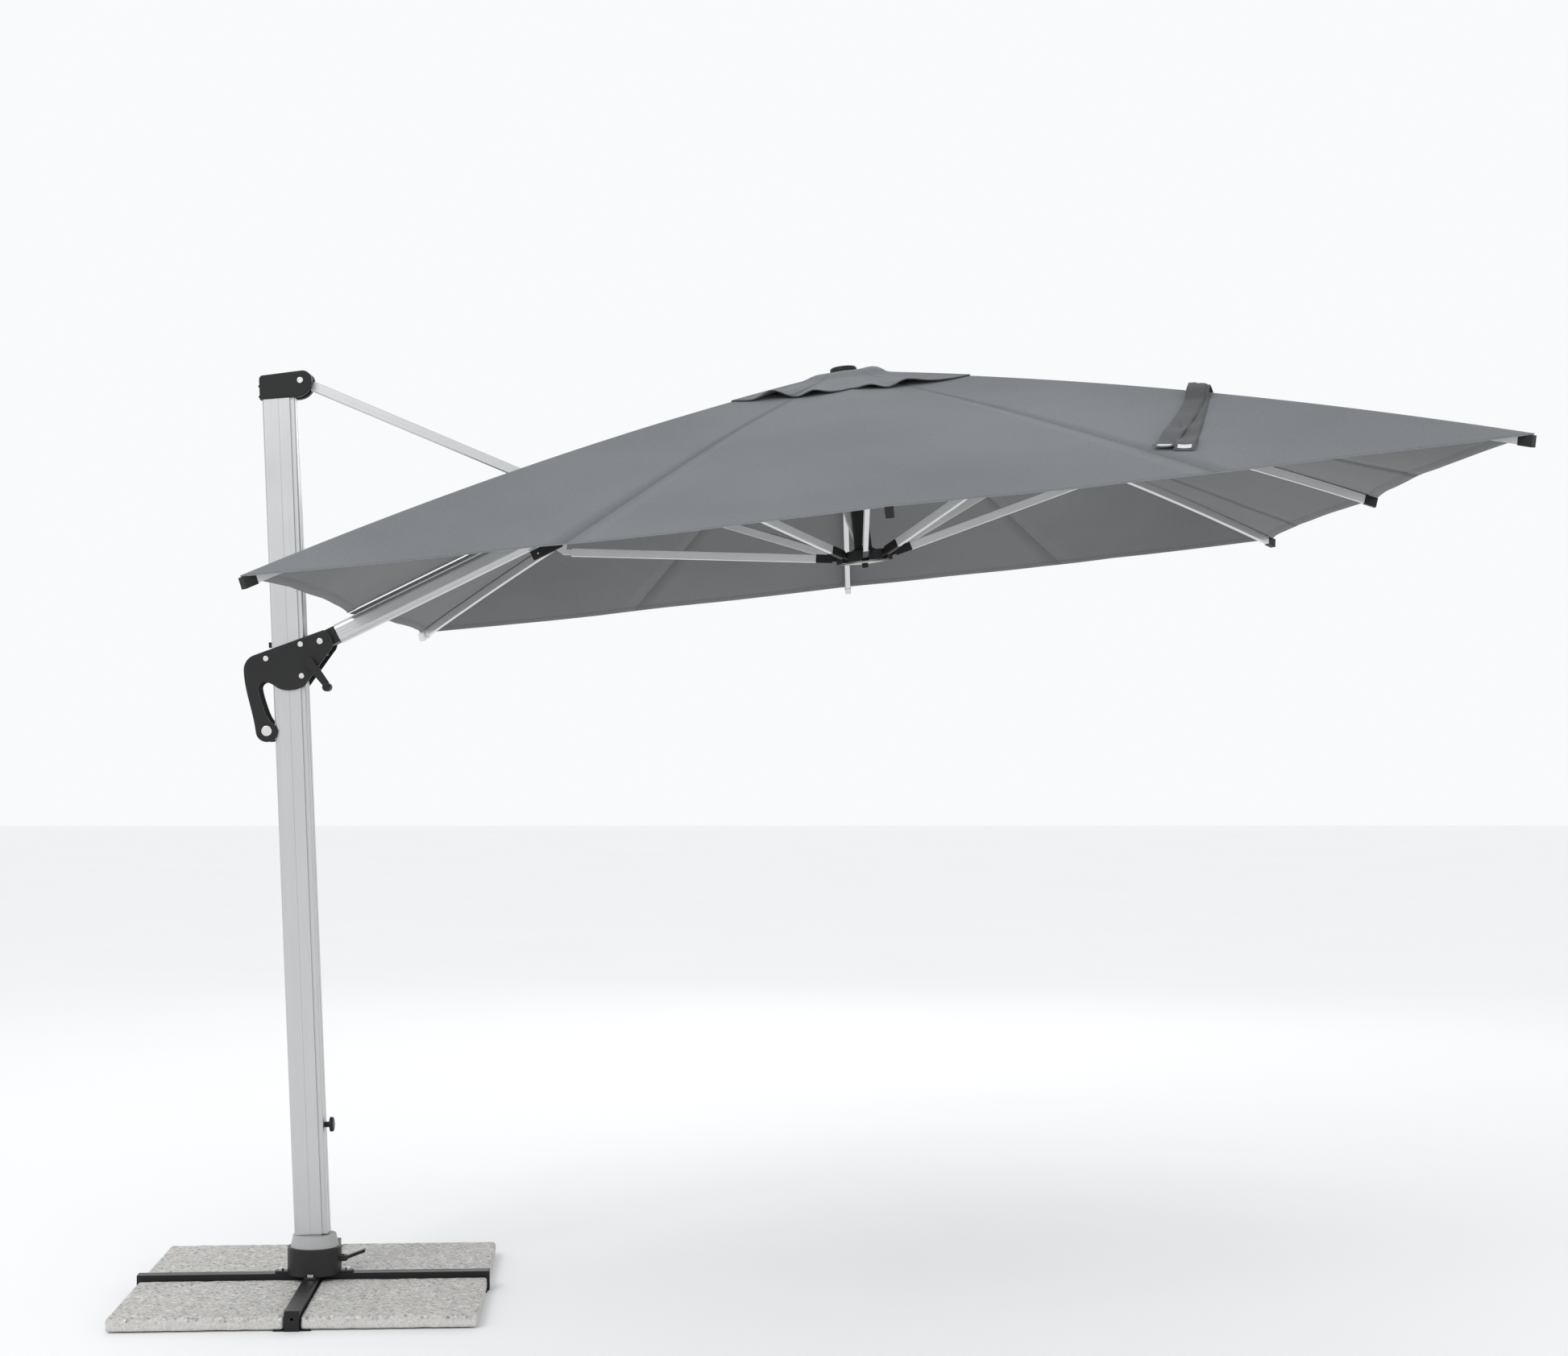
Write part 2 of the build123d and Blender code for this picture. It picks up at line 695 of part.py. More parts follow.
def crown_hub():
    """A slotted hub, with a lug for the short rib and a tongue that goes into the arm."""
    hub = Pos(0, 0, (hub_low + hub_high) / 2) * Cylinder(hub_r, hub_high - hub_low)
    for azimuth in full_ribs.values():
        hub -= hinge_slot_cut(azimuth, rib_pivot[0] - slot_clear, rib_pivot[1], hinge_slot, 2 * hub_r)
    hub += Pos(0, 0, (core_low + core_high) / 2) * Cylinder(core_r, core_high - core_low)
    radius, height = short_rib_pivot
    lug_outline = hull_of((-radius, height, lug_r), (-core_r + lug_r, height, lug_r))
    lug = side_plate(lug_outline, -lug_half, lug_half)
    hub += lug - hinge_slot_cut(180, radius - slot_clear, height, hinge_slot, 2 * hub_r)
    tongue_start = arm_length - arm_tube_stop - tongue_overlap
    section = arm_section(arm_wall + plug_gap)
    tongue = Pos(tongue_start, 0, 0) * Rot(0, 90, 0) * extrude(section, tongue_length)
    hub += canopy_frame.inverse() * arm_frame * tongue
    for azimuth in full_ribs.values():
        hub -= crown_pin(azimuth, *rib_pivot)
    hub -= crown_pin(180, *short_rib_pivot)
    return canopy_frame * hub


def crown_pin(azimuth, radius, height):
    return Rot(0, 0, azimuth) * pin_y(radius, height, hinge_pin_r, -crown_pin_half, crown_pin_half)


def crown_pins():
    pins = [crown_pin(azimuth, *rib_pivot) for azimuth in full_ribs.values()]
    pins.append(crown_pin(180, *short_rib_pivot))
    return canopy_frame * joined(*pins)


def crown_cap():
    height = crown_top - core_high - crown_cap_gap
    cap = Pos(0, 0, crown_top - height / 2) * Cylinder(crown_cap_r, height)
    return canopy_frame * fillet(cap.edges().group_by(Axis.Z)[-1], crown_cap_edge_r)


def crown_post():
    height = core_low - post_gap - post_low
    return canopy_frame * Pos(0, 0, post_low + height / 2) * Cone(post_r_low, post_r_high, height)


# ---- ribs and stretchers, built in the plane of azimuth 0 ----
def rib_end_radius(azimuth):
    corner = azimuth % 90 != 0
    return canopy_half * (2 ** 0.5 if corner else 1) - rib_end_gap


def rib_line(azimuth):
    """Start, end and bow of a rib's centreline."""
    if azimuth == short_rib["arm_side"]:
        slope = tan(radians(arm_angle - canopy_tilt))
        end_height = short_rib_pivot[1] - (short_rib_end - short_rib_pivot[0]) * slope
        return short_rib_pivot, (short_rib_end, end_height), 0
    return rib_pivot, (rib_end_radius(azimuth), rib_end_height), rib_bow


def along(start, end, bow, distance):
    """A point of the bowed centreline, with its chord's direction and upward normal."""
    length = hypot(end[0] - start[0], end[1] - start[1])
    ux, uz = (end[0] - start[0]) / length, (end[1] - start[1]) / length
    share = distance / length
    rise = 4 * bow * share * (1 - share)
    return start[0] + ux * distance - uz * rise, start[1] + uz * distance + ux * rise, ux, uz, length


def joint_point(azimuth):
    """The pivot between a rib and its stretcher, in the rib's plane."""
    start, end, bow = rib_line(azimuth)
    wanted = short_joint_radius if azimuth == 180 else joint_radius
    slope = (end[0] - start[0]) / hypot(end[0] - start[0], end[1] - start[1])
    x, z, ux, uz, _ = along(start, end, bow, (wanted - start[0]) / slope)
    return x + uz * joint_drop, z - ux * joint_drop


def bowed_bar(start, end, bow, first, last, width, height):
    """A bar along part of a rib's centreline."""
    middle = (first + last) / 2
    low, high = [], []
    for distance in (first, middle, last):
        x, z, ux, uz, _ = along(start, end, bow, distance)
        high.append((x - uz * height / 2, z + ux * height / 2))
        low.append((x + uz * height / 2, z - ux * height / 2))
    if bow:
        upper, lower = ThreePointArc(*high), ThreePointArc(*low)
    else:
        upper, lower = Line(high[0], high[2]), Line(low[0], low[2])
    outline = make_face([upper, Line(high[2], low[2]), lower, Line(low[0], high[0])])
    return side_plate(outline, -width / 2, width / 2)


def rib(azimuth):
    start, end, bow = rib_line(azimuth)
    length = along(start, end, bow, 0)[4]
    tube_end = length - rib_cap_length
    tube = bowed_bar(start, end, bow, bar_start, tube_end, rib_width, rib_height)
    room_w, room_h = rib_width - 2 * rib_wall, rib_height - 2 * rib_wall
    tube -= bowed_bar(start, end, bow, bar_start + solid_end, length, room_w, room_h)
    near = along(start, end, bow, bar_start + rib_wall)
    tab_outline = hull_of((*start, hinge_eye_r), (near[0], near[1], hinge_eye_r))
    tab = side_plate(tab_outline, -hinge_tab / 2, hinge_tab / 2)
    tube += tab
    tube -= pin_y(*start, hinge_bore_r, -rib_width, rib_width)
    end_cap = bowed_bar(start, end, bow, tube_end, length, rib_cap_width, rib_cap_height)
    jx, jz = joint_point(azimuth)
    distance = hypot(jx - start[0], jz - start[1])
    clip_gap = hinge_slot / 2
    on_rib = [along(start, end, bow, distance + step) for step in (-joint_clip_half, joint_clip_half)]
    under = [(x + uz * rib_height / 2, z - ux * rib_height / 2) for x, z, ux, uz, _ in on_rib]
    outline = hull_of((jx, jz, joint_clip_r), (*under[0], clip_foot_r), (*under[1], clip_foot_r))
    cheek = side_plate(outline, clip_gap, clip_gap + joint_cheek)
    reach = 4 * joint_clip_half
    cheek -= bowed_bar(start, end, bow, distance - reach, distance + reach, 2 * rib_width, rib_height)
    pin = pin_y(jx, jz, hinge_pin_r, -clip_gap - joint_cheek, clip_gap + joint_cheek)
    clip = cheek + mirror(cheek, Plane.XZ) + pin
    return canopy_frame * Rot(0, 0, azimuth) * joined(tube, end_cap, clip)


def stretcher(azimuth):
    jx, jz = joint_point(azimuth)
    ex, ez = runner_pivot
    length = hypot(jx - ex, jz - ez)
    half_tab = inner_tab / 2
    eye = pin_y(0, 0, joint_eye_r, -half_tab, half_tab)
    eye += block(0, bar_start + rib_wall, -half_tab, half_tab, -joint_eye_r, joint_eye_r)
    eye -= pin_y(0, 0, hinge_bore_r, -rib_width, rib_width)
    boot_end = bar_start + boot_length
    boot = block(bar_start, boot_end, -boot_width / 2, boot_width / 2, boot_low, boot_high)
    boot = fillet(boot.edges().filter_by(Axis.X), boot_edge_r)
    half_w, half_h = stretcher_width / 2, stretcher_height / 2
    bar_end = length - bar_start
    bar = block(boot_end, bar_end, -half_w, half_w, -half_h, half_h)
    bar = fillet(bar.edges().filter_by(Axis.X), stretcher_edge_r)
    room_w, room_h = half_w - rib_wall, half_h - rib_wall
    bar -= block(boot_end - rib_wall, bar_end - solid_end, -room_w, room_w, -room_h, room_h)
    half_tab = hinge_tab / 2 - 1
    outer_tab = pin_y(length, 0, joint_eye_r, -half_tab, half_tab)
    outer_tab += block(bar_end - solid_end / 2, length, -half_tab, half_tab, -joint_eye_r, joint_eye_r)
    bar += outer_tab
    bar -= pin_y(length, 0, hinge_bore_r, -rib_width, rib_width)
    angle = degrees(atan2(jz - ez, jx - ex))
    frame = canopy_frame * Rot(0, 0, azimuth) * Pos(ex, 0, ez) * Rot(0, -angle, 0)
    return frame * joined(eye + boot, bar)


# ---- runner ----
def runner_hub():
    """A star hub whose slots take the stretchers' inner ends from below."""
    hub = Pos(0, 0, (runner_low + runner_high) / 2) * Cylinder(runner_r, runner_high - runner_low)
    notch_at, notch_r = runner_star
    for azimuth in range(0, 360, 45):
        hub -= hinge_slot_cut(azimuth, runner_core_r, 0, runner_slot, 2 * runner_r)
        hub -= Rot(0, 0, azimuth + 22.5) * Pos(notch_at, 0, 0) * Cylinder(notch_r, 4 * runner_high)
    top = Pos(0, 0, (runner_high + runner_top) / 2)
    hub += top * Cone(runner_core_r, runner_top_r, runner_top - runner_high)
    hub -= hinge_slot_cut(short_rib["arm_side"], runner_short_core_r, 0, runner_slot, 2 * runner_r)
    return canopy_frame * hub


def runner_plate():
    low = runner_low - plate_sheet
    half = plate_side / 2
    plate = Rot(0, 0, 45) * block(-half, half, -half, half, low, runner_low)
    nut = block(-nut_half, nut_half, -nut_half, nut_half, low - nut_height, low)
    return canopy_frame * (plate + fillet(nut.edges().filter_by(Axis.Z), nut_edge_r))


# ---- fabric ----
def panel_solid(grid):
    """A thin sheet from rows of points across it, thickened downwards."""
    rows, columns = len(grid), len(grid[0])
    low = [[(x, y, z - fabric_thick) for x, y, z in row] for row in grid]

    def sheet(points):
        faces = []
        for i in range(rows - 1):
            for j in range(columns - 1):
                a, b = points[i][j], points[i][j + 1]
                c, d = points[i + 1][j + 1], points[i + 1][j]
                faces += [(a, b, c), (a, c, d)]
        return faces

    border = [(0, j) for j in range(columns - 1)]
    border += [(i, columns - 1) for i in range(rows - 1)]
    border += [(rows - 1, j) for j in range(columns - 1, 0, -1)]
    border += [(i, 0) for i in range(rows - 1, 0, -1)]
    walls = []
    for (i, j), (k, m) in zip(border, border[1:] + border[:1]):
        walls.append((grid[i][j], grid[k][m], low[k][m], low[i][j]))
    polygons = sheet(grid) + sheet(low) + walls
    shell = Shell([Face(Wire.make_polygon(points)) for points in polygons])
    return Solid(shell)


def ridge_point(azimuth, share):
    """A point of the fabric over a rib, share 0 at the crown and 1 at the rib's end."""
    start, end, bow = rib_line(azimuth)
    length = along(start, end, bow, 0)[4]
    first = (fabric_inner_r - start[0]) / cos(atan2(start[1] - end[1], end[0] - start[0]))
    x, z, ux, uz, _ = along(start, end, bow, first + (length - first) * share)
    rise = fabric_over_corner_rib if azimuth % 90 else fabric_over_rib
    x, z = x - uz * rise, z + ux * rise
    angle = radians(azimuth)
    return x * cos(angle), x * sin(angle), z


def seam_point(edge_x, edge_y, share):
    """A point of the line from the crown to a place on the canopy's edge."""
    reach = hypot(edge_x, edge_y)
    inner = fabric_inner_r / reach
    at = inner + (1 - inner) * share
    rise = 4 * rib_bow * seam_bow * at * (1 - at)
    return edge_x * at, edge_y * at, apex_height + (edge_height - apex_height) * at + rise


def edge_place(azimuth, side):
    """Where a rib's panel meets its neighbour's on the canopy's edge, or the slit beside the arm."""
    half = canopy_half
    neighbour = (azimuth + side * 45) % 360
    if neighbour == short_rib["arm_side"]:
        return -half, slit_half * (1 if azimuth < 180 else -1)
    middle = radians(azimuth + side * 22.5)
    x, y = cos(middle), sin(middle)
    if abs(x) > abs(y):
        reach = half - side_scallop
        return reach * (1 if x > 0 else -1), half / 2 * (1 if y > 0 else -1)
    reach = half - front_scallop
    return half / 2 * (1 if x > 0 else -1), reach * (1 if y > 0 else -1)


def towards_ridge(point, ridge):
    """A seam point moved in by the gap between neighbouring panels."""
    dx, dy = ridge[0] - point[0], ridge[1] - point[1]
    length = hypot(dx, dy)
    return point[0] + dx / length * seam_gap, point[1] + dy / length * seam_gap, point[2]


def slit_point(edge, share):
    """A point of the straight slit edge beside the arm."""
    along_x = fabric_inner_r + (canopy_half - fabric_inner_r) * share
    height = apex_height + (edge_height - apex_height) * along_x / canopy_half
    return -along_x, edge[1], height


def flap_crown_row(azimuth, radius):
    """A level row of the vent flap, round the crown."""
    row = []
    for side in (1, 0, -1):
        angle = radians(azimuth + side * flap_half_turn)
        row.append((radius * cos(angle), radius * sin(angle), flap_height))
    return row


def flap_hem_row(azimuth):
    """The vent flap's outer row."""
    radius = flap_half * (2 ** 0.5 if azimuth % 90 else 1)
    share = (radius - fabric_inner_r) / (rib_end_radius(azimuth) - fabric_inner_r)
    slit_share = (flap_half - fabric_inner_r) / (canopy_half - fabric_inner_r)
    ridge = ridge_point(azimuth, share)
    row = []
    for side in (1, -1):
        edge = edge_place(azimuth, side)
        if abs(edge[1]) == slit_half:
            x, y, z = slit_point(edge, slit_share)
        else:
            x, y, z = towards_ridge(seam_point(*edge, (flap_half - flap_seam_in) / canopy_half), ridge)
        row.append((x, y, z + flap_over_seam))
    return [row[0], (ridge[0], ridge[1], ridge[2] + flap_over_ridge), row[1]]


def fabric_panel(azimuth):
    """The fabric on one rib: the main panel and its share of the vent flap over it."""
    grid = []
    for share in fabric_rows:
        ridge = ridge_point(azimuth, share)
        row = []
        for side in (1, -1):
            edge = edge_place(azimuth, side)
            if abs(edge[1]) == slit_half:
                row.append(slit_point(edge, share))
            else:
                row.append(towards_ridge(seam_point(*edge, share), ridge))
        grid.append([row[0], ridge, row[1]])
    crown_rows = [flap_crown_row(azimuth, radius) for radius in (flap_inner_r, flap_shoulder_r)]
    flap = panel_solid([*crown_rows, flap_hem_row(azimuth)])
    return canopy_frame * joined(panel_solid(grid), flap)


def all_nodes():
    nodes = {
        "base_cross": base_frame * base_cross(),
        "cross_end_caps": base_frame * cross_end_caps(),
        "base_collar": base_frame * base_collar(),
        "collar_bolts": base_frame * collar_bolts(),
        "swivel_spigot": swivel_spigot(),
        "lock_lever": base_frame * lock_lever(),
        "mast_foot": mast_foot(),
        "mast_tube": mast_tube(),
        "mast_cap": mast_cap(),
        "cap_pins": cap_pins(),
        "mast_stud": mast_stud(),
        "mast_stop": mast_stop(),
        "slider_plate_near": slider_plate(-1),
        "slider_plate_far": slider_plate(1),
        "slider_pins": slider_pins(),
        "guide_pads": guide_pads(),
        "back_roller": back_roller(),
        "grip_bar": grip_bar(),
        "winch_drum": winch_drum(),
        "crank_arm": crank_arm(),
        "crank_knob": crank_knob(),
        "arm_tube": arm_tube(),
        "arm_fork": arm_fork(),
        "strut_bracket": strut_bracket(),
        "strut_bolt": strut_bolt(),
        "strut_tube": strut_tube(),
        "strut_ends": strut_ends(),
        "crown_hub": crown_hub(),
        "crown_pins": crown_pins(),
        "crown_cap": crown_cap(),
        "crown_post": crown_post(),
        "runner_hub": runner_hub(),
        "runner_plate": runner_plate(),
    }
    for x_name, x_sign in (("left", -1), ("right", 1)):
        for y_name, y_sign in (("front", -1), ("back", 1)):
            nodes[f"slab_{y_name}_{x_name}"] = base_frame * slab(x_sign, y_sign)
    for name, azimuth in {**full_ribs, **short_rib}.items():
        nodes[f"rib_{name}"] = rib(azimuth)
        nodes[f"stretcher_{name}"] = stretcher(azimuth)
    for name, azimuth in full_ribs.items():
        nodes[f"canopy_{name}"] = fabric_panel(azimuth)
    return nodes


def main():
    os.makedirs("parts", exist_ok=True)
    for name, shape in all_nodes().items():
        export_step(shape, f"parts/{name}.step")


if __name__ == "__main__":
    main()
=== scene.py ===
import math
from math import cos, radians, sin

import bpy
from mathutils import Matrix, Vector, noise


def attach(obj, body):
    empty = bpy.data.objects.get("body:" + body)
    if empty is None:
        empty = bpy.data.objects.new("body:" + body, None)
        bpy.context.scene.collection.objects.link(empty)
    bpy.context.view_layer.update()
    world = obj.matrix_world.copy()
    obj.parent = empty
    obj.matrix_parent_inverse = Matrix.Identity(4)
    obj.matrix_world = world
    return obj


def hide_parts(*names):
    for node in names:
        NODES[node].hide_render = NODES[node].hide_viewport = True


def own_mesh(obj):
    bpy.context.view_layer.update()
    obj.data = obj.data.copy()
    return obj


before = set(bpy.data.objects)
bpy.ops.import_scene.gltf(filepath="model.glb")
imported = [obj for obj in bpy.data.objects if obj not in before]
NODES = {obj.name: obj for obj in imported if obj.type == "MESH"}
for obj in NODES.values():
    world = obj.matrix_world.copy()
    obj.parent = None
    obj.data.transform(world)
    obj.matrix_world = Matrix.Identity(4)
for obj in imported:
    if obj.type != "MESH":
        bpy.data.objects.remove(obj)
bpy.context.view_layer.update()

# ---- places and sizes that the CAD states, in metres ----
CANOPY_TILT = 6.32
CANOPY = Matrix.Translation((1.58, 0, 2.113)) @ Matrix.Rotation(radians(-CANOPY_TILT), 4, "Y")
TO_CANOPY = CANOPY.inverted()
BASE = Matrix.Rotation(radians(3.19), 4, "Z")
MAST = Matrix.Translation((0, 0, 0.04)) @ Matrix.Rotation(radians(-2.51), 4, "Y")
ARM_SLOPE = 26.18
STRUT_SLOPE = -22.79
FULL_RIBS = {
    "right": 0,
    "back_right": 45,
    "back": 90,
    "back_left": 135,
    "front_left": 225,
    "front": 270,
    "front_right": 315,
}
ARM_SIDE = 180
HALF = 1.5                      # half the canopy's side
RIB_START = (0.055, 0.509)      # radius and height of the ribs' hinges
RIB_END_GAP = 0.005
RIB_END_HEIGHT = -0.008
RIB_BOW = 0.03
INNER_R = 0.075
APEX_HEIGHT = 0.545
EDGE_HEIGHT = 0.002
SEAM_BOW = 0.4
FRONT_SCALLOP = 0.006
SLIT_HALF = 0.02
SHORT_START = (0.055, 0.431)
SHORT_END = 0.955
RUNNER_PIVOT = (0.07, 0.0)
BOOT_END = 0.0705
NUT_TOP = -0.0196               # the runner plate's nut lies below this height
CAP_LENGTH = 0.036

# ---- fabric details ----
OVER_MID_RIB = 0.0162           # the fabric above a rib's centreline
OVER_CORNER_RIB = 0.0188
SIDE_SCALLOP = 0.075            # how far the two sides' edges bow in, more than on the CAD's panels
SLACK = 0.0035
FINE_RIPPLE = 0.0009
FLUTTER = 0.004
FLUTTER_FROM = 0.86             # the share from which the edge flutters
SLIT_SAG = 0.03
THREADS_PER_METRE = 1400.0
STITCHES_PER_METRE = 210.0
STITCH_SHARE = 0.72             # how much of each stitch's pitch its thread covers
HEM_LINE = 0.0011               # half widths of the sewn lines
JOIN_LINE = 0.002
RIB_LINE = 0.0009
RIB_LINE_OFFSET = 0.007         # from the rib to the line sewn on each side of it
VENT_JOIN = 0.085               # from the vent flap's hem to the join under it
SHEET = 0.0012
HEM_WIDTH = 0.024
HEM_THICK = 0.0026
FLAP_HALF = 0.345
FLAP_CROWN_R = 0.034
FLAP_CROWN_HEIGHT = 0.5305
FLAP_LIFT = 0.02
VENT_REST = 0.004               # how far the flap lies above the panels
VENT_WAVES = 17.0               # waves of its hem on a full turn, before they are made uneven
VENT_TAPER = 0.06               # how much shorter the flap is between the ribs
CROWN_LEVEL = 0.22              # the share of the flap that is pulled level at the crown
FOLD_PLACE = (0.1, -0.02)       # the raised fold of the vent flap beside the crown cap
FOLD_HEIGHT = 0.016
SLIT_SCALLOP = 0.05             # how far the edge beside the arm bows in
CAST_BAND = 0.024               # height below which a slab's side is smooth paste
FOLD_TILT = 0.13                # how far the unused axis across the panels beside the arm leans inward, as they are lower on the arm's side


# ---- mesh helpers ----
def new_object(name, points, faces, materials):
    mesh = bpy.data.meshes.new(name)
    mesh.from_pydata([tuple(p) for p in points], [], faces)
    for material in materials:
        mesh.materials.append(material)
    made = bpy.data.objects.new(name, mesh)
    bpy.context.scene.collection.objects.link(made)
    return made


def grid_normals(grid):
    """The upward normal at every point of a grid."""
    rows, columns = len(grid), len(grid[0])
    normals = []
    for i in range(rows):
        row = []
        for j in range(columns):
            along = grid[min(i + 1, rows - 1)][j] - grid[max(i - 1, 0)][j]
            across = grid[i][min(j + 1, columns - 1)] - grid[i][max(j - 1, 0)]
            row.append(along.cross(across).normalized())
        normals.append(row)
    return normals


def shell(name, grid, thickness, materials, uv):
    """A closed thin sheet from a grid: outer face, inner face and a flat rim."""
    rows, columns = len(grid), len(grid[0])
    normals = grid_normals(grid)
    outer = [p for row in grid for p in row]
    spots = [(i, j) for i in range(rows) for j in range(columns)]
    inner = [grid[i][j] - normals[i][j] * thickness(i, j) for i, j in spots]
    count = rows * columns
    faces, index, smooth = [], [], []
    for i in range(rows - 1):
        for j in range(columns - 1):
            a, b = i * columns + j, (i + 1) * columns + j
            faces.append((a, b, b + 1, a + 1))
            faces.append((count + a, count + a + 1, count + b + 1, count + b))
            index += [0, 1]
            smooth += [True, True]
    border = list(range(columns - 1))
    border += [i * columns + columns - 1 for i in range(rows - 1)]
    border += [(rows - 1) * columns + j for j in range(columns - 1, 0, -1)]
    border += [i * columns for i in range(rows - 1, 0, -1)]
    for a, b in zip(border, border[1:] + border[:1]):
        faces.append((a, b, count + b, count + a))
        index.append(2)
        smooth.append(False)
    made = new_object(name, outer + inner, faces, materials)
    made.data.polygons.foreach_set("material_index", index)
    made.data.polygons.foreach_set("use_smooth", smooth)
    flat_uv = [uv[i][j] for i, j in spots] * 2
    layer = made.data.uv_layers.new(name="cloth")
    for loop in made.data.loops:
        layer.data[loop.index].uv = flat_uv[loop.vertex_index]
    return made


# ---- material helpers ----
def node(tree, kind, settings=None, **inputs):
    """Adds a shader node; an input is a number, a colour or another node's output."""
    made = tree.nodes.new("ShaderNode" + kind)
    for key, value in (settings or {}).items():
        setattr(made, key, value)
    for key, value in inputs.items():
        numbered = key[0] == "i" and key[1:].isdigit()
        socket = made.inputs[int(key[1:]) if numbered else key.replace("_", " ")]
        if isinstance(value, bpy.types.NodeSocket):
            tree.links.new(value, socket)
        else:
            socket.default_value = value
    return made


def sums(tree, operation, a, b=0.0):
    """One step of arithmetic."""
    return node(tree, "Math", {"operation": operation}, i0=a, i1=b).outputs[0]


def ranged(tree, value, low, high, start=0.0, stop=1.0):
    """Maps a value from start..stop to low..high."""
    span = {"From_Min": start, "From_Max": stop, "To_Min": low, "To_Max": high}
    return node(tree, "MapRange", None, Value=value, **span).outputs["Result"]


def blended(tree, share, low, high, mode="MIX"):
    """A colour between low and high."""
    settings = {"data_type": "RGBA", "blend_type": mode}
    return node(tree, "Mix", settings, i0=share, i6=low, i7=high).outputs[2]


def noise_of(tree, place, scale, detail=3.0, roughness=0.55):
    settings = {"Scale": scale, "Detail": detail, "Roughness": roughness}
    return node(tree, "TexNoise", None, Vector=place, **settings).outputs["Fac"]


def bump_of(tree, height, depth, strength=1.0, under=None):
    inputs = {"Height": height, "Distance": depth, "Strength": strength}
    if under is not None:
        inputs["Normal"] = under
    return node(tree, "Bump", None, **inputs).outputs["Normal"]


def material(name, **constants):
    """An empty material with a Principled shader whose even values are set on its sockets."""
    made = bpy.data.materials.new(name)
    made.use_nodes = True
    tree = made.node_tree
    shader = tree.nodes["Principled BSDF"]
    for key, value in constants.items():
        shader.inputs[key.replace("_", " ")].default_value = value
    place = node(tree, "TexCoord").outputs["Object"]
    return made, tree, shader, place


def wire(tree, shader, **inputs):
    """Links node outputs to the Principled shader."""
    for key, value in inputs.items():
        tree.links.new(value, shader.inputs[key.replace("_", " ")])


def grey(value, tint=(1.0, 1.0, 1.0)):
    return (value * tint[0], value * tint[1], value * tint[2], 1.0)


def drawn_out(tree, place, direction, long, narrow):
    """Texture space stretched along a direction, so that noise in it becomes lines."""
    turn = Vector(direction).to_track_quat("X", "Z").to_euler()
    settings = {"Rotation": turn, "Scale": (long, narrow, narrow)}
    return node(tree, "Mapping", {"vector_type": "TEXTURE"}, Vector=place, **settings).outputs[0]


def brushed(name, direction, tone, rough, tint=(0.985, 0.995, 1.0), metal=1.0):
    """Drawn or anodised metal with fine lines along a direction."""
    made, tree, shader, place = material(name, Metallic=metal)
    streak = noise_of(tree, drawn_out(tree, place, direction, 0.6, 0.003), 1.0, 4.0)
    hair = noise_of(tree, drawn_out(tree, place, direction, 0.12, 0.0008), 1.0, 2.0)
    smudge = noise_of(tree, place, 7.0, 4.0)
    colour = blended(tree, streak, grey(tone * 0.93, tint), grey(tone * 1.05, tint))
    rough_a = ranged(tree, streak, rough - 0.05, rough + 0.05)
    rough_b = sums(tree, "ADD", rough_a, ranged(tree, smudge, -0.04, 0.06, 0.3, 0.7))
    wire(tree, shader, Base_Color=colour, Roughness=rough_b, Normal=bump_of(tree, hair, 0.00008, 0.6))
    return made


def moulded(name, tone, rough, grain, depth, tint=(1.0, 1.0, 1.03), edge_r=0.0012):
    """Plastic, rubber or coated metal: fine grain, blotches, softened edges lightened in patches,
    partly as wear and partly as painted highlight.
    """
    made, tree, shader, place = material(name, Specular_IOR_Level=0.28)
    blotch = noise_of(tree, place, 9.0, 5.0)
    pits = noise_of(tree, place, grain, 3.0, 0.65)
    soft = node(tree, "Bevel", {"samples": 4}, Radius=edge_r)
    true = node(tree, "NewGeometry").outputs["Normal"]
    facing = node(tree, "VectorMath", {"operation": "DOT_PRODUCT"}, i0=soft.outputs[0], i1=true)
    # Edges are lightened in patches, partly as wear and partly as painted highlight.
    edge_wear_and_highlight = ranged(tree, facing.outputs["Value"], 1.0, 0.0, 0.9, 0.99)
    edge_wear_and_highlight = sums(tree, "MULTIPLY", edge_wear_and_highlight, ranged(tree, blotch, 0.0, 1.0, 0.42, 0.62))
    base = blended(tree, blotch, grey(tone * 0.8, tint), grey(tone * 1.25, tint))
    bare_and_highlight_tone = grey(min(0.5, tone * 4.5 + 0.02), tint)
    colour = blended(tree, sums(tree, "MULTIPLY", edge_wear_and_highlight, 0.5), base, bare_and_highlight_tone)
    uneven = ranged(tree, blotch, rough - 0.06, rough + 0.08)
    rougher = sums(tree, "ADD", uneven, ranged(tree, pits, -0.03, 0.03))
    normal = bump_of(tree, pits, depth, 0.7, soft.outputs[0])
    wire(tree, shader, Base_Color=colour, Roughness=rougher, Normal=normal)
    return made


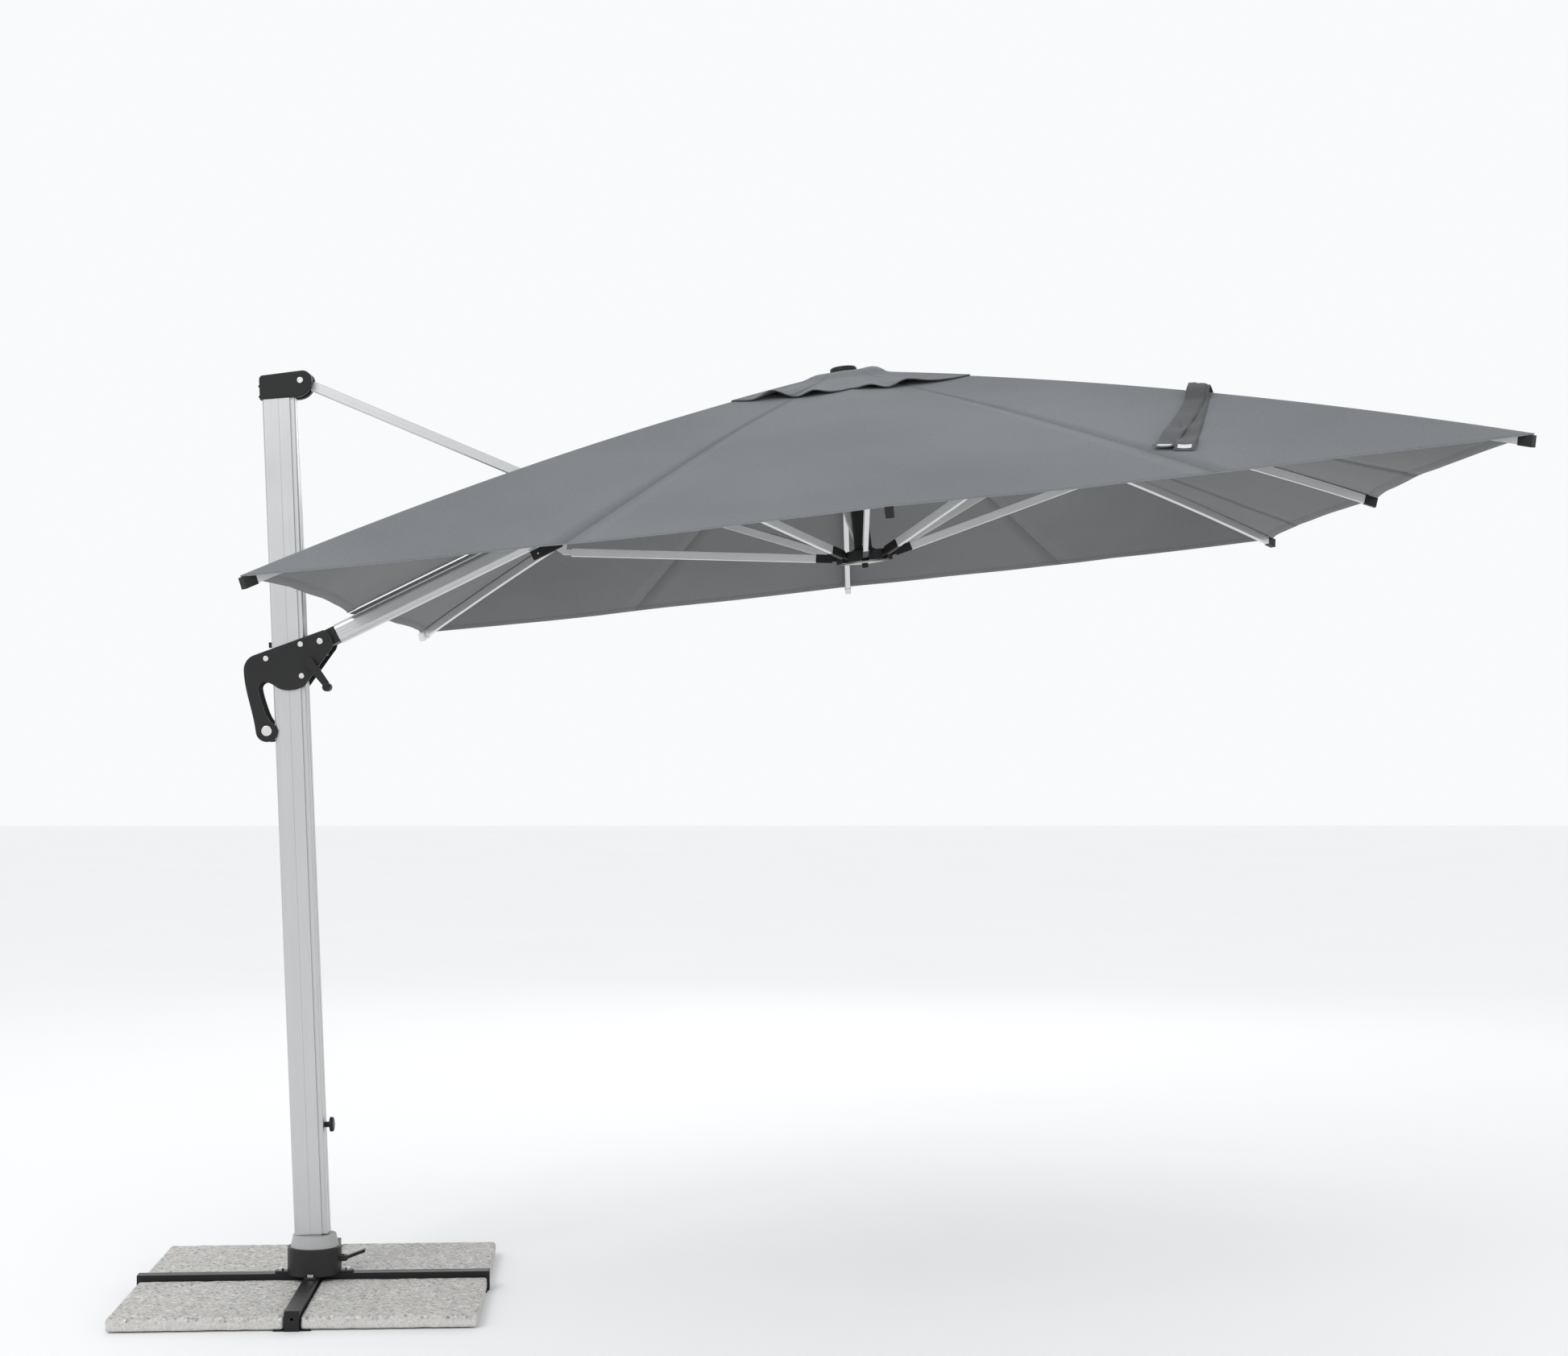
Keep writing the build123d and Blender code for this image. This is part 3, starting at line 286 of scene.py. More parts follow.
def concrete_material():
    """Washed concrete: stones of several greys and browns over a smooth cast band at the sides."""
    made, tree, shader, place = material("washed_concrete")
    wobble = node(tree, "TexNoise", None, Vector=place, Scale=60.0, Detail=2.0).outputs["Color"]
    push = (0.004, 0.004, 0.004)
    moved = node(tree, "VectorMath", {"operation": "MULTIPLY_ADD"}, i0=wobble, i1=push, i2=place)
    cells = node(tree, "TexVoronoi", {"feature": "F1"}, Vector=moved.outputs[0], Scale=88.0)
    small = node(tree, "TexVoronoi", {"feature": "F1"}, Vector=place, Scale=260.0)
    height_in_slab = node(tree, "SeparateXYZ", None, Vector=place).outputs[2]
    washed = ranged(tree, height_in_slab, 0.0, 1.0, CAST_BAND, CAST_BAND + 0.006)
    round_cell = ranged(tree, cells.outputs["Distance"], 1.0, 0.0, 0.25, 0.62)
    stone = sums(tree, "MULTIPLY", washed, round_cell)
    grit = ranged(tree, small.outputs["Distance"], 1.0, 0.0, 0.2, 0.6)
    pick = node(tree, "SeparateColor", None, Color=cells.outputs["Color"])
    ramp = node(tree, "ValToRGB", None, Fac=pick.outputs[0])
    stops = ramp.color_ramp.elements
    stops[0].color, stops[1].color = (0.17, 0.165, 0.16, 1), (0.85, 0.83, 0.8, 1)
    brown, blue_grey, sand = (0.5, 0.475, 0.44, 1), (0.31, 0.31, 0.32, 1), (0.66, 0.62, 0.56, 1)
    for at, colour in ((0.3, brown), (0.55, blue_grey), (0.8, sand)):
        stops.new(at).color = colour
    speck = node(tree, "SeparateColor", None, Color=small.outputs["Color"])
    paste = blended(tree, speck.outputs[1], (0.5, 0.49, 0.475, 1), (0.66, 0.65, 0.63, 1))
    stain = noise_of(tree, place, 4.0, 6.0)
    body = blended(tree, stone, paste, ramp.outputs[0])
    stained = blended(tree, stain, (0.7, 0.69, 0.67, 1), (1.0, 0.99, 0.98, 1))
    colour = blended(tree, 0.35, body, stained, "MULTIPLY")
    height = sums(tree, "ADD", stone, sums(tree, "MULTIPLY", grit, 0.35))
    rough = ranged(tree, stone, 0.92, 0.72)
    wire(tree, shader, Base_Color=colour, Roughness=rough, Normal=bump_of(tree, height, 0.0016, 0.8))
    return made


def near_line(tree, value, at, half_width):
    """1 where the value lies within half_width of a line, else 0."""
    away = sums(tree, "ABSOLUTE", sums(tree, "SUBTRACT", value, at))
    return sums(tree, "LESS_THAN", away, half_width)


def dashes(tree, value):
    """1 on the threads of a row of stitches, 0 between them."""
    turns = sums(tree, "FRACT", sums(tree, "MULTIPLY", value, STITCHES_PER_METRE))
    return sums(tree, "LESS_THAN", turns, STITCH_SHARE)


def fabric_material(name, tone, tint, stitched):
    """Solution-dyed polyester: two thread directions, melange, hem and rib stitching, with painted
    shade in the stitch grooves.
    """
    sheen = {"Sheen_Weight": 0.12, "Sheen_Roughness": 0.5}
    made, tree, shader, place = material(name, Specular_IOR_Level=0.2, **sheen)
    cloth = node(tree, "UVMap", {"uv_map": "cloth"}).outputs[0]
    fine, long = THREADS_PER_METRE, THREADS_PER_METRE / 20
    warp = node(tree, "Mapping", None, Vector=cloth, Scale=(fine, long, 1.0)).outputs[0]
    weft = node(tree, "Mapping", None, Vector=cloth, Scale=(long, fine, 1.0)).outputs[0]
    threads = sums(tree, "ADD", noise_of(tree, warp, 1.0, 2.0), noise_of(tree, weft, 1.0, 2.0))
    threads = sums(tree, "MULTIPLY", threads, 0.5)
    melange = noise_of(tree, cloth, 240.0, 3.0, 0.7)
    cloudy = noise_of(tree, place, 1.6, 4.0)
    thread_tone = ranged(tree, threads, -0.35, 0.35, 0.35, 0.65)
    mixed = sums(tree, "ADD", thread_tone, ranged(tree, melange, -0.3, 0.3, 0.3, 0.7))
    mixed = sums(tree, "ADD", mixed, ranged(tree, cloudy, 0.25, 0.75, 0.25, 0.75))
    colour = blended(tree, mixed, grey(tone * 0.76, tint), grey(tone * 1.24, tint))
    height = threads
    if stitched:
        parts = node(tree, "SeparateXYZ", None, Vector=cloth)
        across, inward = parts.outputs[0], parts.outputs[1]
        side = sums(tree, "ABSOLUTE", across)
        hem = near_line(tree, inward, HEM_WIDTH - 0.003, HEM_LINE)
        join = near_line(tree, inward, HALF - FLAP_HALF - VENT_JOIN, JOIN_LINE)
        rib = near_line(tree, side, RIB_LINE_OFFSET, RIB_LINE)
        edge_lines = sums(tree, "MAXIMUM", hem, join)
        dashed = sums(tree, "MULTIPLY", edge_lines, dashes(tree, across))
        rib_dashed = sums(tree, "MULTIPLY", rib, dashes(tree, inward))
        dashed = sums(tree, "MAXIMUM", dashed, rib_dashed)
        groove = sums(tree, "MAXIMUM", edge_lines, rib)
        groove_painted_shade, light = grey(tone * 0.45, tint), grey(tone * 1.5, tint)
        # The sewn lines' grooves are painted darker, as painted shade.
        colour = blended(tree, sums(tree, "MULTIPLY", groove, 0.45), colour, groove_painted_shade)
        colour = blended(tree, sums(tree, "MULTIPLY", dashed, 0.6), colour, light)
        height = sums(tree, "SUBTRACT", threads, sums(tree, "MULTIPLY", groove, 1.6))
    rough = ranged(tree, melange, 0.84, 0.96)
    wire(tree, shader, Base_Color=colour, Roughness=rough, Normal=bump_of(tree, height, 0.0005, 0.55))
    return made


def loop_tape_material():
    """Pale nylon loops of a touch fastener."""
    made, tree, shader, place = material("loop_tape", Sheen_Weight=0.4)
    loops = noise_of(tree, place, 700.0, 4.0, 0.8)
    colour = blended(tree, loops, (0.5, 0.51, 0.55, 1), (0.82, 0.83, 0.88, 1))
    rough = ranged(tree, loops, 0.8, 1.0)
    wire(tree, shader, Base_Color=colour, Roughness=rough, Normal=bump_of(tree, loops, 0.001))
    return made


# The underside is the top's cloth painted a little darker, as painted shade.
TOP = fabric_material("fabric_top", 0.155, (0.93, 1.0, 1.07), True)
UNDERSIDE_PAINTED_SHADE = fabric_material("fabric_under", 0.14, (0.97, 1.0, 1.03), True)
RIM = fabric_material("fabric_rim", 0.21, (0.95, 1.0, 1.05), False)
WEB = fabric_material("strap_web", 0.075, (0.95, 1.0, 1.05), False)
LOOPS = loop_tape_material()
CAST = moulded("cast_black", 0.014, 0.42, 420.0, 0.0001)
PLASTIC = moulded("black_plastic", 0.011, 0.46, 650.0, 0.00012)
RUBBER = moulded("cap_black", 0.012, 0.5, 900.0, 0.00025)
STEEL_BLACK = moulded("powder_black", 0.012, 0.36, 800.0, 0.0001, edge_r=0.0015)
COLLAR_BLACK = moulded("hammered_black", 0.022, 0.4, 230.0, 0.0012, edge_r=0.002)
FOOT = moulded("grey_foot", 0.42, 0.5, 700.0, 0.0001, (1.0, 1.0, 1.0), 0.0015)
NYLON = moulded("nylon", 0.5, 0.45, 500.0, 0.0001, (1.0, 0.98, 0.94))
STEEL = brushed("bright_steel", (0, 1, 0), 0.72, 0.26, (1.0, 0.99, 0.98))
CONCRETE = concrete_material()
UP_MAST = MAST.to_3x3() @ Vector((0, 0, 1))
MAST_SILVER = brushed("mast_silver", UP_MAST, 0.56, 0.36)


def sloped(angle):
    """A direction in the plane of the arm, by its slope in degrees."""
    return Vector((cos(radians(angle)), 0, sin(radians(angle))))


# ---- materials of the CAD nodes ----
def dress(name, *materials):
    """Gives a CAD node its materials."""
    mesh = NODES[name].data
    mesh.materials.clear()
    for each in materials:
        mesh.materials.append(each)
    return mesh


def dress_where(name, test, first, second):
    """Gives the faces whose middle passes the test the second material."""
    mesh = dress(name, first, second)
    for face in mesh.polygons:
        face.material_index = 1 if test(face.center) else 0


ARM_SILVER = brushed("arm_silver", sloped(ARM_SLOPE), 0.6, 0.36, metal=0.6)
STRUT_SILVER = brushed("strut_silver", sloped(STRUT_SLOPE), 0.6, 0.35)
BODY_MATERIALS = {
    "base_cross": STEEL_BLACK,
    "base_collar": COLLAR_BLACK,
    "cross_end_caps": PLASTIC,
    "lock_lever": PLASTIC,
    "mast_stud": PLASTIC,
    "mast_stop": PLASTIC,
    "grip_bar": PLASTIC,
    "crank_knob": PLASTIC,
    "back_roller": PLASTIC,
    "slider_plate_near": CAST,
    "slider_plate_far": CAST,
    "crank_arm": CAST,
    "arm_fork": CAST,
    "crown_hub": CAST,
    "crown_post": CAST,
    "runner_hub": CAST,
    "mast_cap": RUBBER,
    "crown_cap": RUBBER,
    "collar_bolts": STEEL,
    "swivel_spigot": STEEL,
    "cap_pins": STEEL,
    "slider_pins": STEEL,
    "winch_drum": STEEL,
    "crown_pins": STEEL,
    "strut_bolt": STEEL,
    "mast_foot": FOOT,
    "guide_pads": NYLON,
    "mast_tube": MAST_SILVER,
    "arm_tube": ARM_SILVER,
    "strut_bracket": ARM_SILVER,
    "strut_tube": STRUT_SILVER,
    "strut_ends": STRUT_SILVER,
}
for node_name, body_material in BODY_MATERIALS.items():
    dress(node_name, body_material)


def rib_line(azimuth):
    """Start, end and bow of a rib's centreline, as radius and height."""
    if azimuth == ARM_SIDE:
        slope = math.tan(radians(ARM_SLOPE - CANOPY_TILT))
        return SHORT_START, (SHORT_END, SHORT_START[1] - (SHORT_END - SHORT_START[0]) * slope), 0.0
    reach = HALF * (math.sqrt(2) if azimuth % 90 else 1) - RIB_END_GAP
    return RIB_START, (reach, RIB_END_HEIGHT), RIB_BOW


def rib_point(azimuth, share, over=0.0):
    """A point above the rib's centreline; share counts along its chord."""
    start, end, bow = rib_line(azimuth)
    length = math.dist(start, end)
    ux, uz = (end[0] - start[0]) / length, (end[1] - start[1]) / length
    rise = 4 * bow * share * (1 - share) + over
    x = start[0] + ux * length * share - uz * rise
    z = start[1] + uz * length * share + ux * rise
    angle = radians(azimuth)
    return Vector((x * cos(angle), x * sin(angle), z))


def radial(point):
    """Distance from the canopy's axis, and height along it."""
    local = TO_CANOPY @ point
    return math.hypot(local.x, local.y), local.z


SILVER_CAPS = ("back", "back_left")     # the ribs whose end caps look light in the photograph
for rib_name, azimuth in {**FULL_RIBS, "arm_side": ARM_SIDE}.items():
    line = CANOPY.to_3x3() @ (rib_point(azimuth, 1) - rib_point(azimuth, 0))
    silver = brushed("rib_silver_" + rib_name, line, 0.7, 0.38, metal=0.35)
    cap_from = rib_line(azimuth)[1][0] - CAP_LENGTH
    cap_material = silver if rib_name in SILVER_CAPS else PLASTIC
    dress_where("rib_" + rib_name, lambda p, r=cap_from: radial(p)[0] > r, silver, cap_material)
    boot_test = lambda p: math.dist(radial(p), RUNNER_PIVOT) < BOOT_END
    dress_where("stretcher_" + rib_name, boot_test, silver, PLASTIC)

dress_where("runner_plate", lambda p: radial(p)[1] < NUT_TOP, NYLON, PLASTIC)


# ---- the canopy's fabric ----
def above_rib(azimuth):
    """The fabric's height over a rib's centreline."""
    return OVER_CORNER_RIB if azimuth % 90 else OVER_MID_RIB


def ridge(azimuth, share):
    """A point of the fabric over a rib, share 0 at the crown and 1 at the rib's end."""
    start, end, _ = rib_line(azimuth)
    first = (INNER_R - start[0]) / (end[0] - start[0])
    return rib_point(azimuth, first + (1 - first) * share, above_rib(azimuth))


def edge_place(azimuth, side):
    """Where a panel meets its neighbour on the canopy's edge."""
    middle = radians(azimuth + side * 22.5)
    x, y = cos(middle), sin(middle)
    if abs(x) > abs(y):
        return math.copysign(HALF - SIDE_SCALLOP, x), math.copysign(HALF / 2, y)
    return math.copysign(HALF / 2, x), math.copysign(HALF - FRONT_SCALLOP, y)


def seam(azimuth, side, share):
    """A point of the seam between two panels, which bows up less than the ribs."""
    edge_x, edge_y = edge_place(azimuth, side)
    inner = INNER_R / math.hypot(edge_x, edge_y)
    at = inner + (1 - inner) * share
    height = APEX_HEIGHT + (EDGE_HEIGHT - APEX_HEIGHT) * at
    return Vector((edge_x * at, edge_y * at, height + 4 * RIB_BOW * SEAM_BOW * at * (1 - at)))


def slit_edge(azimuth, share):
    """A point of the free edge beside the arm."""
    x = INNER_R + (HALF - INNER_R) * share
    y = SLIT_HALF if azimuth < ARM_SIDE else -SLIT_HALF
    return Vector((-x, y, APEX_HEIGHT + (EDGE_HEIGHT - APEX_HEIGHT) * x / HALF))


def wave_at(point, per_metre, layer):
    """Smooth noise from -1 to 1 over the canopy's plane."""
    return noise.noise(Vector((point.x * per_metre, point.y * per_metre, layer)))


def ripple(point, share, t):
    """Slight slack between the ribs, and a flutter along the edge."""
    slack = wave_at(point, 2.3, 0.4)
    fine = wave_at(point, 7.5, 2.1)
    flutter = wave_at(point, 4.1, 7.7)
    edge = max(0.0, (share - FLUTTER_FROM) / (1 - FLUTTER_FROM))
    away = t * t * (3 - 2 * t)
    return away * (SLACK * slack + FINE_RIPPLE * fine + FLUTTER * edge * edge * flutter)


def panel_point(azimuth, share, t):
    """A point of the fabric; t runs from -1 to 1 across the panel, 0 over the rib."""
    side, t = (1, t) if t >= 0 else (-1, -t)
    start = ridge(azimuth, share)
    if (azimuth + side * 45) % 360 == ARM_SIDE:
        point = start.lerp(slit_edge(azimuth, share), t)
        point.x += SLIT_SCALLOP * share ** 3 * 4 * t * (1 - t)
        point.z -= SLIT_SAG * t * (1 - t) * share
        away = min(1.0, 4 * t * (1 - t))
        point.z += ripple(point, share, away)
        return point
    other = ridge((azimuth + side * 45) % 360, share)
    middle = (start + other) / 2
    point = start + (middle - start) * t + (seam(azimuth, side, share) - middle) * (2 * t - t * t)
    point.z += ripple(point, share, t)
    return point


def spread(count):
    """Values from -1 to 1, closer together near 0."""
    half = [(k / count) ** 1.35 for k in range(count + 1)]
    return [-v for v in reversed(half[1:])] + half


def cloth_uv(azimuth, share, t):
    """Metres across from the rib, and metres in from the edge."""
    return t * HALF / 2 * (INNER_R / HALF + share), (1 - share) * (HALF - INNER_R)


def hang(made, rib_name, azimuth):
    """Rides on the rib and gets a mesh of its own; the axis across the rib is worked out, leaned for
    the panels beside the arm, but not used.
    """
    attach(made, f"rib_{rib_name}_link")
    axis = Vector((-sin(radians(azimuth)), cos(radians(azimuth)), 0))
    if abs(azimuth - ARM_SIDE) == 45:
        outward = (rib_point(azimuth, 1) - rib_point(azimuth, 0)).cross(axis).normalized()
        axis -= outward * FOLD_TILT * (1 if azimuth < ARM_SIDE else -1)
    axis = CANOPY.to_3x3() @ axis
    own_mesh(made)


def cut_size(azimuth, corners):
    """The width and length of the rectangle that a panel is cut from, its length along the rib."""
    angle = radians(azimuth)
    across = [p.y * cos(angle) - p.x * sin(angle) for p in corners]
    out = [math.hypot(p.x * cos(angle) + p.y * sin(angle), p.z - APEX_HEIGHT) for p in corners]
    return max(across) - min(across), max(out) - min(out)


def panel(rib_name, azimuth):
    rows = 44
    shares = [i / rows for i in range(rows)]
    hem_share = 1 - HEM_WIDTH / (HALF - INNER_R)
    shares = [s for s in shares if s < hem_share - 0.004] + [hem_share - 0.002, hem_share, 0.995, 1.0]
    places = spread(16)
    grid = [[CANOPY @ panel_point(azimuth, s, t) for t in places] for s in shares]
    uv = [[cloth_uv(azimuth, s, t) for t in places] for s in shares]
    made = shell(
        "fabric_" + rib_name,
        grid,
        lambda i, j: HEM_THICK if shares[i] >= hem_share else SHEET,
        (TOP, UNDERSIDE_PAINTED_SHADE, RIM),
        uv,
    )
    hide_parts("canopy_" + rib_name)
    hang(made, rib_name, azimuth)
    return made, cut_size(azimuth, [panel_point(azimuth, s, t) for s in (0, 1) for t in (-1, 0, 1)])


def vent_share(t):
    """How far out the vent flap's hem reaches, as a share of the panel."""
    reach = (FLAP_HALF - INNER_R) / (HALF - INNER_R)
    return reach * (1 - VENT_TAPER * abs(t) ** 2)


def vent_point(azimuth, s, t):
    """A point of the vent flap; s is 0 beside the crown and 1 at the flap's hem."""
    share = vent_share(t) * s
    point = panel_point(azimuth, share, t)
    away = min(1.0, abs(t) * 1.6)
    around = math.atan2(point.y, point.x)
    uneven = 2.3 * sin(around * 3.0) + 1.2 * sin(around * 5.0)
    wave = 0.5 + 0.5 * sin(around * VENT_WAVES + uneven)
    size = 0.45 + 0.75 * abs(sin(around * 4.0 + 0.7))
    lift = VENT_REST + s ** 3 * away * FLAP_LIFT * (0.12 + wave * size)
    fold = Vector((point.x - FOLD_PLACE[0], point.y - FOLD_PLACE[1]))
    lift += FOLD_HEIGHT * math.exp(-((fold.x / 0.05) ** 2) - (fold.y / 0.06) ** 2)
    flat = max(0.0, 1 - s / CROWN_LEVEL)
    point.z = point.z * (1 - flat) + max(point.z, FLAP_CROWN_HEIGHT - 0.002) * flat + lift
    return point


def vent_flap(rib_name, azimuth):
    places = spread(14)
    steps = [i / 20 for i in range(21)]
    crown = []
    for t in places:
        first = vent_point(azimuth, 0, t)
        angle = math.atan2(first.y, first.x)
        height = FLAP_CROWN_HEIGHT + 0.0008
        crown.append(Vector((FLAP_CROWN_R * cos(angle), FLAP_CROWN_R * sin(angle), height)))
    grid = [[CANOPY @ p for p in crown]]
    grid += [[CANOPY @ vent_point(azimuth, s, t) for t in places] for s in steps]
    uv = [[(t * 0.03, 0.4) for t in places]]
    uv += [[(t * 0.17 * (0.2 + s), (1 - s) * FLAP_HALF * 0.8) for t in places] for s in steps]
    last = len(grid) - 2
    thickness = lambda i, j: HEM_THICK if i >= last else SHEET
    made = shell("vent_" + rib_name, grid, thickness, (TOP, UNDERSIDE_PAINTED_SHADE, WEB), uv)
    hang(made, rib_name, azimuth)
    return made, cut_size(azimuth, crown + [vent_point(azimuth, 1, t) for t in (-1, 0, 1)])


for rib_name, azimuth in FULL_RIBS.items():
    cover, cut = panel(rib_name, azimuth)
    flap, cut = vent_flap(rib_name, azimuth)


# ---- the tie strap over the front right rib ----
STRAP_AZIMUTH = FULL_RIBS["front_right"]
STRAP_START = Vector((0.86, -0.87))     # where it crosses the rib, in the canopy's plane
STRAP_SHARE = 0.5625                    # the same place as a share of the rib
STRAP_HEADING = Vector((-0.35, -0.94)).normalized()
STRAP_WIDTH = 0.05
WEBBING = 0.0014
LOOP_HEIGHT = 0.019                     # the slack loop over the rib, and half its length
LOOP_REACH = 0.04
TAIL_GAP = 0.004                        # from the strap's middle to a tail's, at the rib
TAIL_FAN = 0.022                        # how much further apart the tails end
CUP = 0.0035                            # how far a tail's edges stand up
SWAY = 0.0025
PATCH = 0.032


def forward_point(share, t):
    """The fabric forward of the front right rib; past the seam it is the front panel's."""
    if t > 1:
        return panel_point(FULL_RIBS["front"], share, 2 - t)
    return panel_point(STRAP_AZIMUTH, share, -t)


def fabric_under(place, share, t):
    """The fabric at a place of the canopy's plane, found from a near share and t."""
    step = 0.002
    for _ in range(5):
        here = forward_point(share, t)
        by_share = (forward_point(share + step, t) - here) / step
        by_t = (forward_point(share, t + step) - here) / step
        turn = by_share.x * by_t.y - by_share.y * by_t.x
        x, y = place.x - here.x, place.y - here.y
        share += (x * by_t.y - y * by_t.x) / turn
        t += (y * by_share.x - x * by_share.y) / turn
    return forward_point(share, t), share, t


def strap_tail(name, side, reach, back, lift):
    """A webbing tail, run from behind the rib to its patch of loop tape; side is -1 left, 1 right."""
    steps, columns = 46, 7
    sideways = Vector((-STRAP_HEADING.y, STRAP_HEADING.x))
    grid, uv = [], []
    share, t = STRAP_SHARE, -0.1
    for i in range(steps + 1):
        run = -back + (reach + back) * i / steps
        far = max(0.0, run / reach)
        apart = TAIL_GAP + TAIL_FAN * far ** 1.3
        middle = STRAP_START + STRAP_HEADING * run + sideways * side * apart
        row, row_uv = [], []
        for j in range(columns):
            offset = (j / (columns - 1) - 0.5) * STRAP_WIDTH
            point, row_share, row_t = fabric_under(middle + sideways * offset, share, t)
            loop = math.exp(-(((run - 0.004) / LOOP_REACH) ** 4))
            edge = (2 * offset / STRAP_WIDTH) ** 2
            cup = CUP * edge * (0.5 + 0.5 * sin(run * 31 + side)) * far
            sway = SWAY * far * (1 + sin(run * 47 + side * 1.3))
            point.z += lift + LOOP_HEIGHT * loop + cup + sway
            row.append(CANOPY @ point)
            row_uv.append((offset + side * 0.2, run))
            if j == columns // 2:
                next_share, next_t = row_share, row_t
        share, t = next_share, next_t
        grid.append(row)
        uv.append(row_uv)
    made = shell(name, grid, lambda i, j: WEBBING, (WEB, WEB, RIM, LOOPS), uv)
    first_patch = steps - round(PATCH / (reach + back) * steps)
    faces_per_row = 2 * (columns - 1)
    for row in range(first_patch, steps - 1):
        for column in range(1, columns - 2):
            made.data.polygons[row * faces_per_row + 2 * column].material_index = 3
    hang(made, "front_right", STRAP_AZIMUTH)


TAIL_BACK = 0.035                       # how far the tails start behind the rib
strap_tail("strap_tail_left", -1, 0.455, TAIL_BACK, 0.0052)
strap_tail("strap_tail_right", 1, 0.46, TAIL_BACK, 0.003)


# ---- the black sleeve and pin at the short rib's outer end ----
def ringed(name, start, end, half_w, half_h, rounded, material_used, body):
    """A closed bar of rounded section between two points, its ends slightly drawn in."""
    direction = (end - start).normalized()
    across = direction.cross(Vector((0, 0, 1))).normalized()
    up = across.cross(direction)
    segments = 6
    outline = []
    for corner in range(4):
        centre_w = (half_w - rounded) * (1 if corner in (0, 3) else -1)
        centre_h = (half_h - rounded) * (1 if corner in (0, 1) else -1)
        for k in range(segments + 1):
            angle = radians(90 * corner + 90 * k / segments)
            outline.append((centre_w + rounded * cos(angle), centre_h + rounded * sin(angle)))
    length = (end - start).length
    drawn = min(rounded, length / 4)
    narrowed = 1 - drawn / max(half_w, half_h)
    rings = [(0.0, narrowed), (drawn, 1.0), (length - drawn, 1.0), (length, narrowed)]
    points, faces = [], []
    for along, scale in rings:
        middle = start + direction * along
        points += [middle + across * (w * scale) + up * (h * scale) for w, h in outline]
    count = len(outline)
    for ring in range(len(rings) - 1):
        for k in range(count):
            a, b = ring * count + k, ring * count + (k + 1) % count
            faces.append((a, b, b + count, a + count))
    faces += [tuple(range(count))[::-1], tuple(range(3 * count, 4 * count))]
    made = new_object(name, points, faces, (material_used,))
    for face in made.data.polygons:
        face.use_smooth = len(face.vertices) == 4
    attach(made, body)
    return made


SLEEVE_LENGTH = 0.094
SLEEVE_SIZE = (0.0112, 0.0145, 0.003)       # half width, half height and corner radius
PIN_FROM_END = 0.02
PIN_REACH = 0.0135
PIN_SIZE = (0.005, 0.005, 0.0049)
short_length = math.dist(*rib_line(ARM_SIDE)[:2])
sleeve_start = CANOPY @ rib_point(ARM_SIDE, 1 - SLEEVE_LENGTH / short_length)
sleeve_end = CANOPY @ rib_point(ARM_SIDE, 1)
short_rib = "rib_arm_side_link"
sleeve = ringed("short_rib_sleeve", sleeve_start, sleeve_end, *SLEEVE_SIZE, PLASTIC, short_rib)
pin_middle = CANOPY @ rib_point(ARM_SIDE, 1 - PIN_FROM_END / short_length)
pin_reach = Vector((0, PIN_REACH, 0))
pin_start, pin_end = pin_middle - pin_reach, pin_middle + pin_reach
pin = ringed("short_rib_pin", pin_start, pin_end, *PIN_SIZE, STEEL, short_rib)


# ---- the paving slabs ----
SLAB_SIDE = 0.472
SLAB_LOW = 0.0032
SLAB_THICK = 0.036
SLAB_MIDDLE = 0.258
SLAB_ROUND = 0.007
SLAB_ROUGH = 0.0009
CHIPPED_RIM = 0.012             # how far from a corner the chips reach
CHIP_DEPTH = 0.0042


def slab(name, x_sign, y_sign):
    """A rounded slab with a rough, slightly chipped outline, no larger than its CAD block."""
    half = Vector((SLAB_SIDE / 2, SLAB_SIDE / 2, SLAB_THICK / 2))
    flat = [h - SLAB_ROUND for h in half]
    seed = Vector((x_sign * 3.1, y_sign * 5.3, 1.7))
    centre = Vector((x_sign * SLAB_MIDDLE, y_sign * SLAB_MIDDLE, SLAB_LOW + SLAB_THICK / 2))
    cuts = (64, 64, 7)
    points, faces, index = [], [], {}

    def vertex(key):
        """The index of a grid point of the block's skin, made when first asked for."""
        if key not in index:
            raw = Vector([(2 * key[a] / cuts[a] - 1) * half[a] for a in range(3)])
            core = Vector([max(-flat[a], min(flat[a], raw[a])) for a in range(3)])
            out = raw - core
            on_edge = sum(1 for a in range(3) if abs(out[a]) > 1e-9) > 1
            point = core + out.normalized() * SLAB_ROUND if on_edge else raw
            rims = sum(1 for a in range(3) if abs(raw[a]) > half[a] - CHIPPED_RIM)
            rough = SLAB_ROUGH * (noise.noise(point * 85 + seed) + 1)
            chipped = max(0.0, noise.noise(point * 26 + seed) - 0.05)
            chip = CHIP_DEPTH * chipped * max(0, rims - 1)
            if rims < 2:
                axis = max(range(3), key=lambda a: abs(raw[a]) / half[a])
                inward = Vector([math.copysign(1, raw[a]) if a == axis else 0 for a in range(3)])
            else:
                inward = (point - core * 0.9).normalized()
            index[key] = len(points)
            points.append(BASE @ (point - inward * (rough + chip) + centre))
        return index[key]

    for axis in range(3):
        u, v = [(1, 2), (2, 0), (0, 1)][axis]
        for end in (0, cuts[axis]):
            for i in range(cuts[u]):
                for j in range(cuts[v]):
                    corners = []
                    for du, dv in ((0, 0), (1, 0), (1, 1), (0, 1)):
                        key = [0, 0, 0]
                        key[axis], key[u], key[v] = end, i + du, j + dv
                        corners.append(vertex(tuple(key)))
                    faces.append(tuple(corners if end else corners[::-1]))
    made = new_object("stone_" + name, points, faces, (CONCRETE,))
    made.data.polygons.foreach_set("use_smooth", [True] * len(faces))
    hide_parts("slab_" + name)
    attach(made, "base")


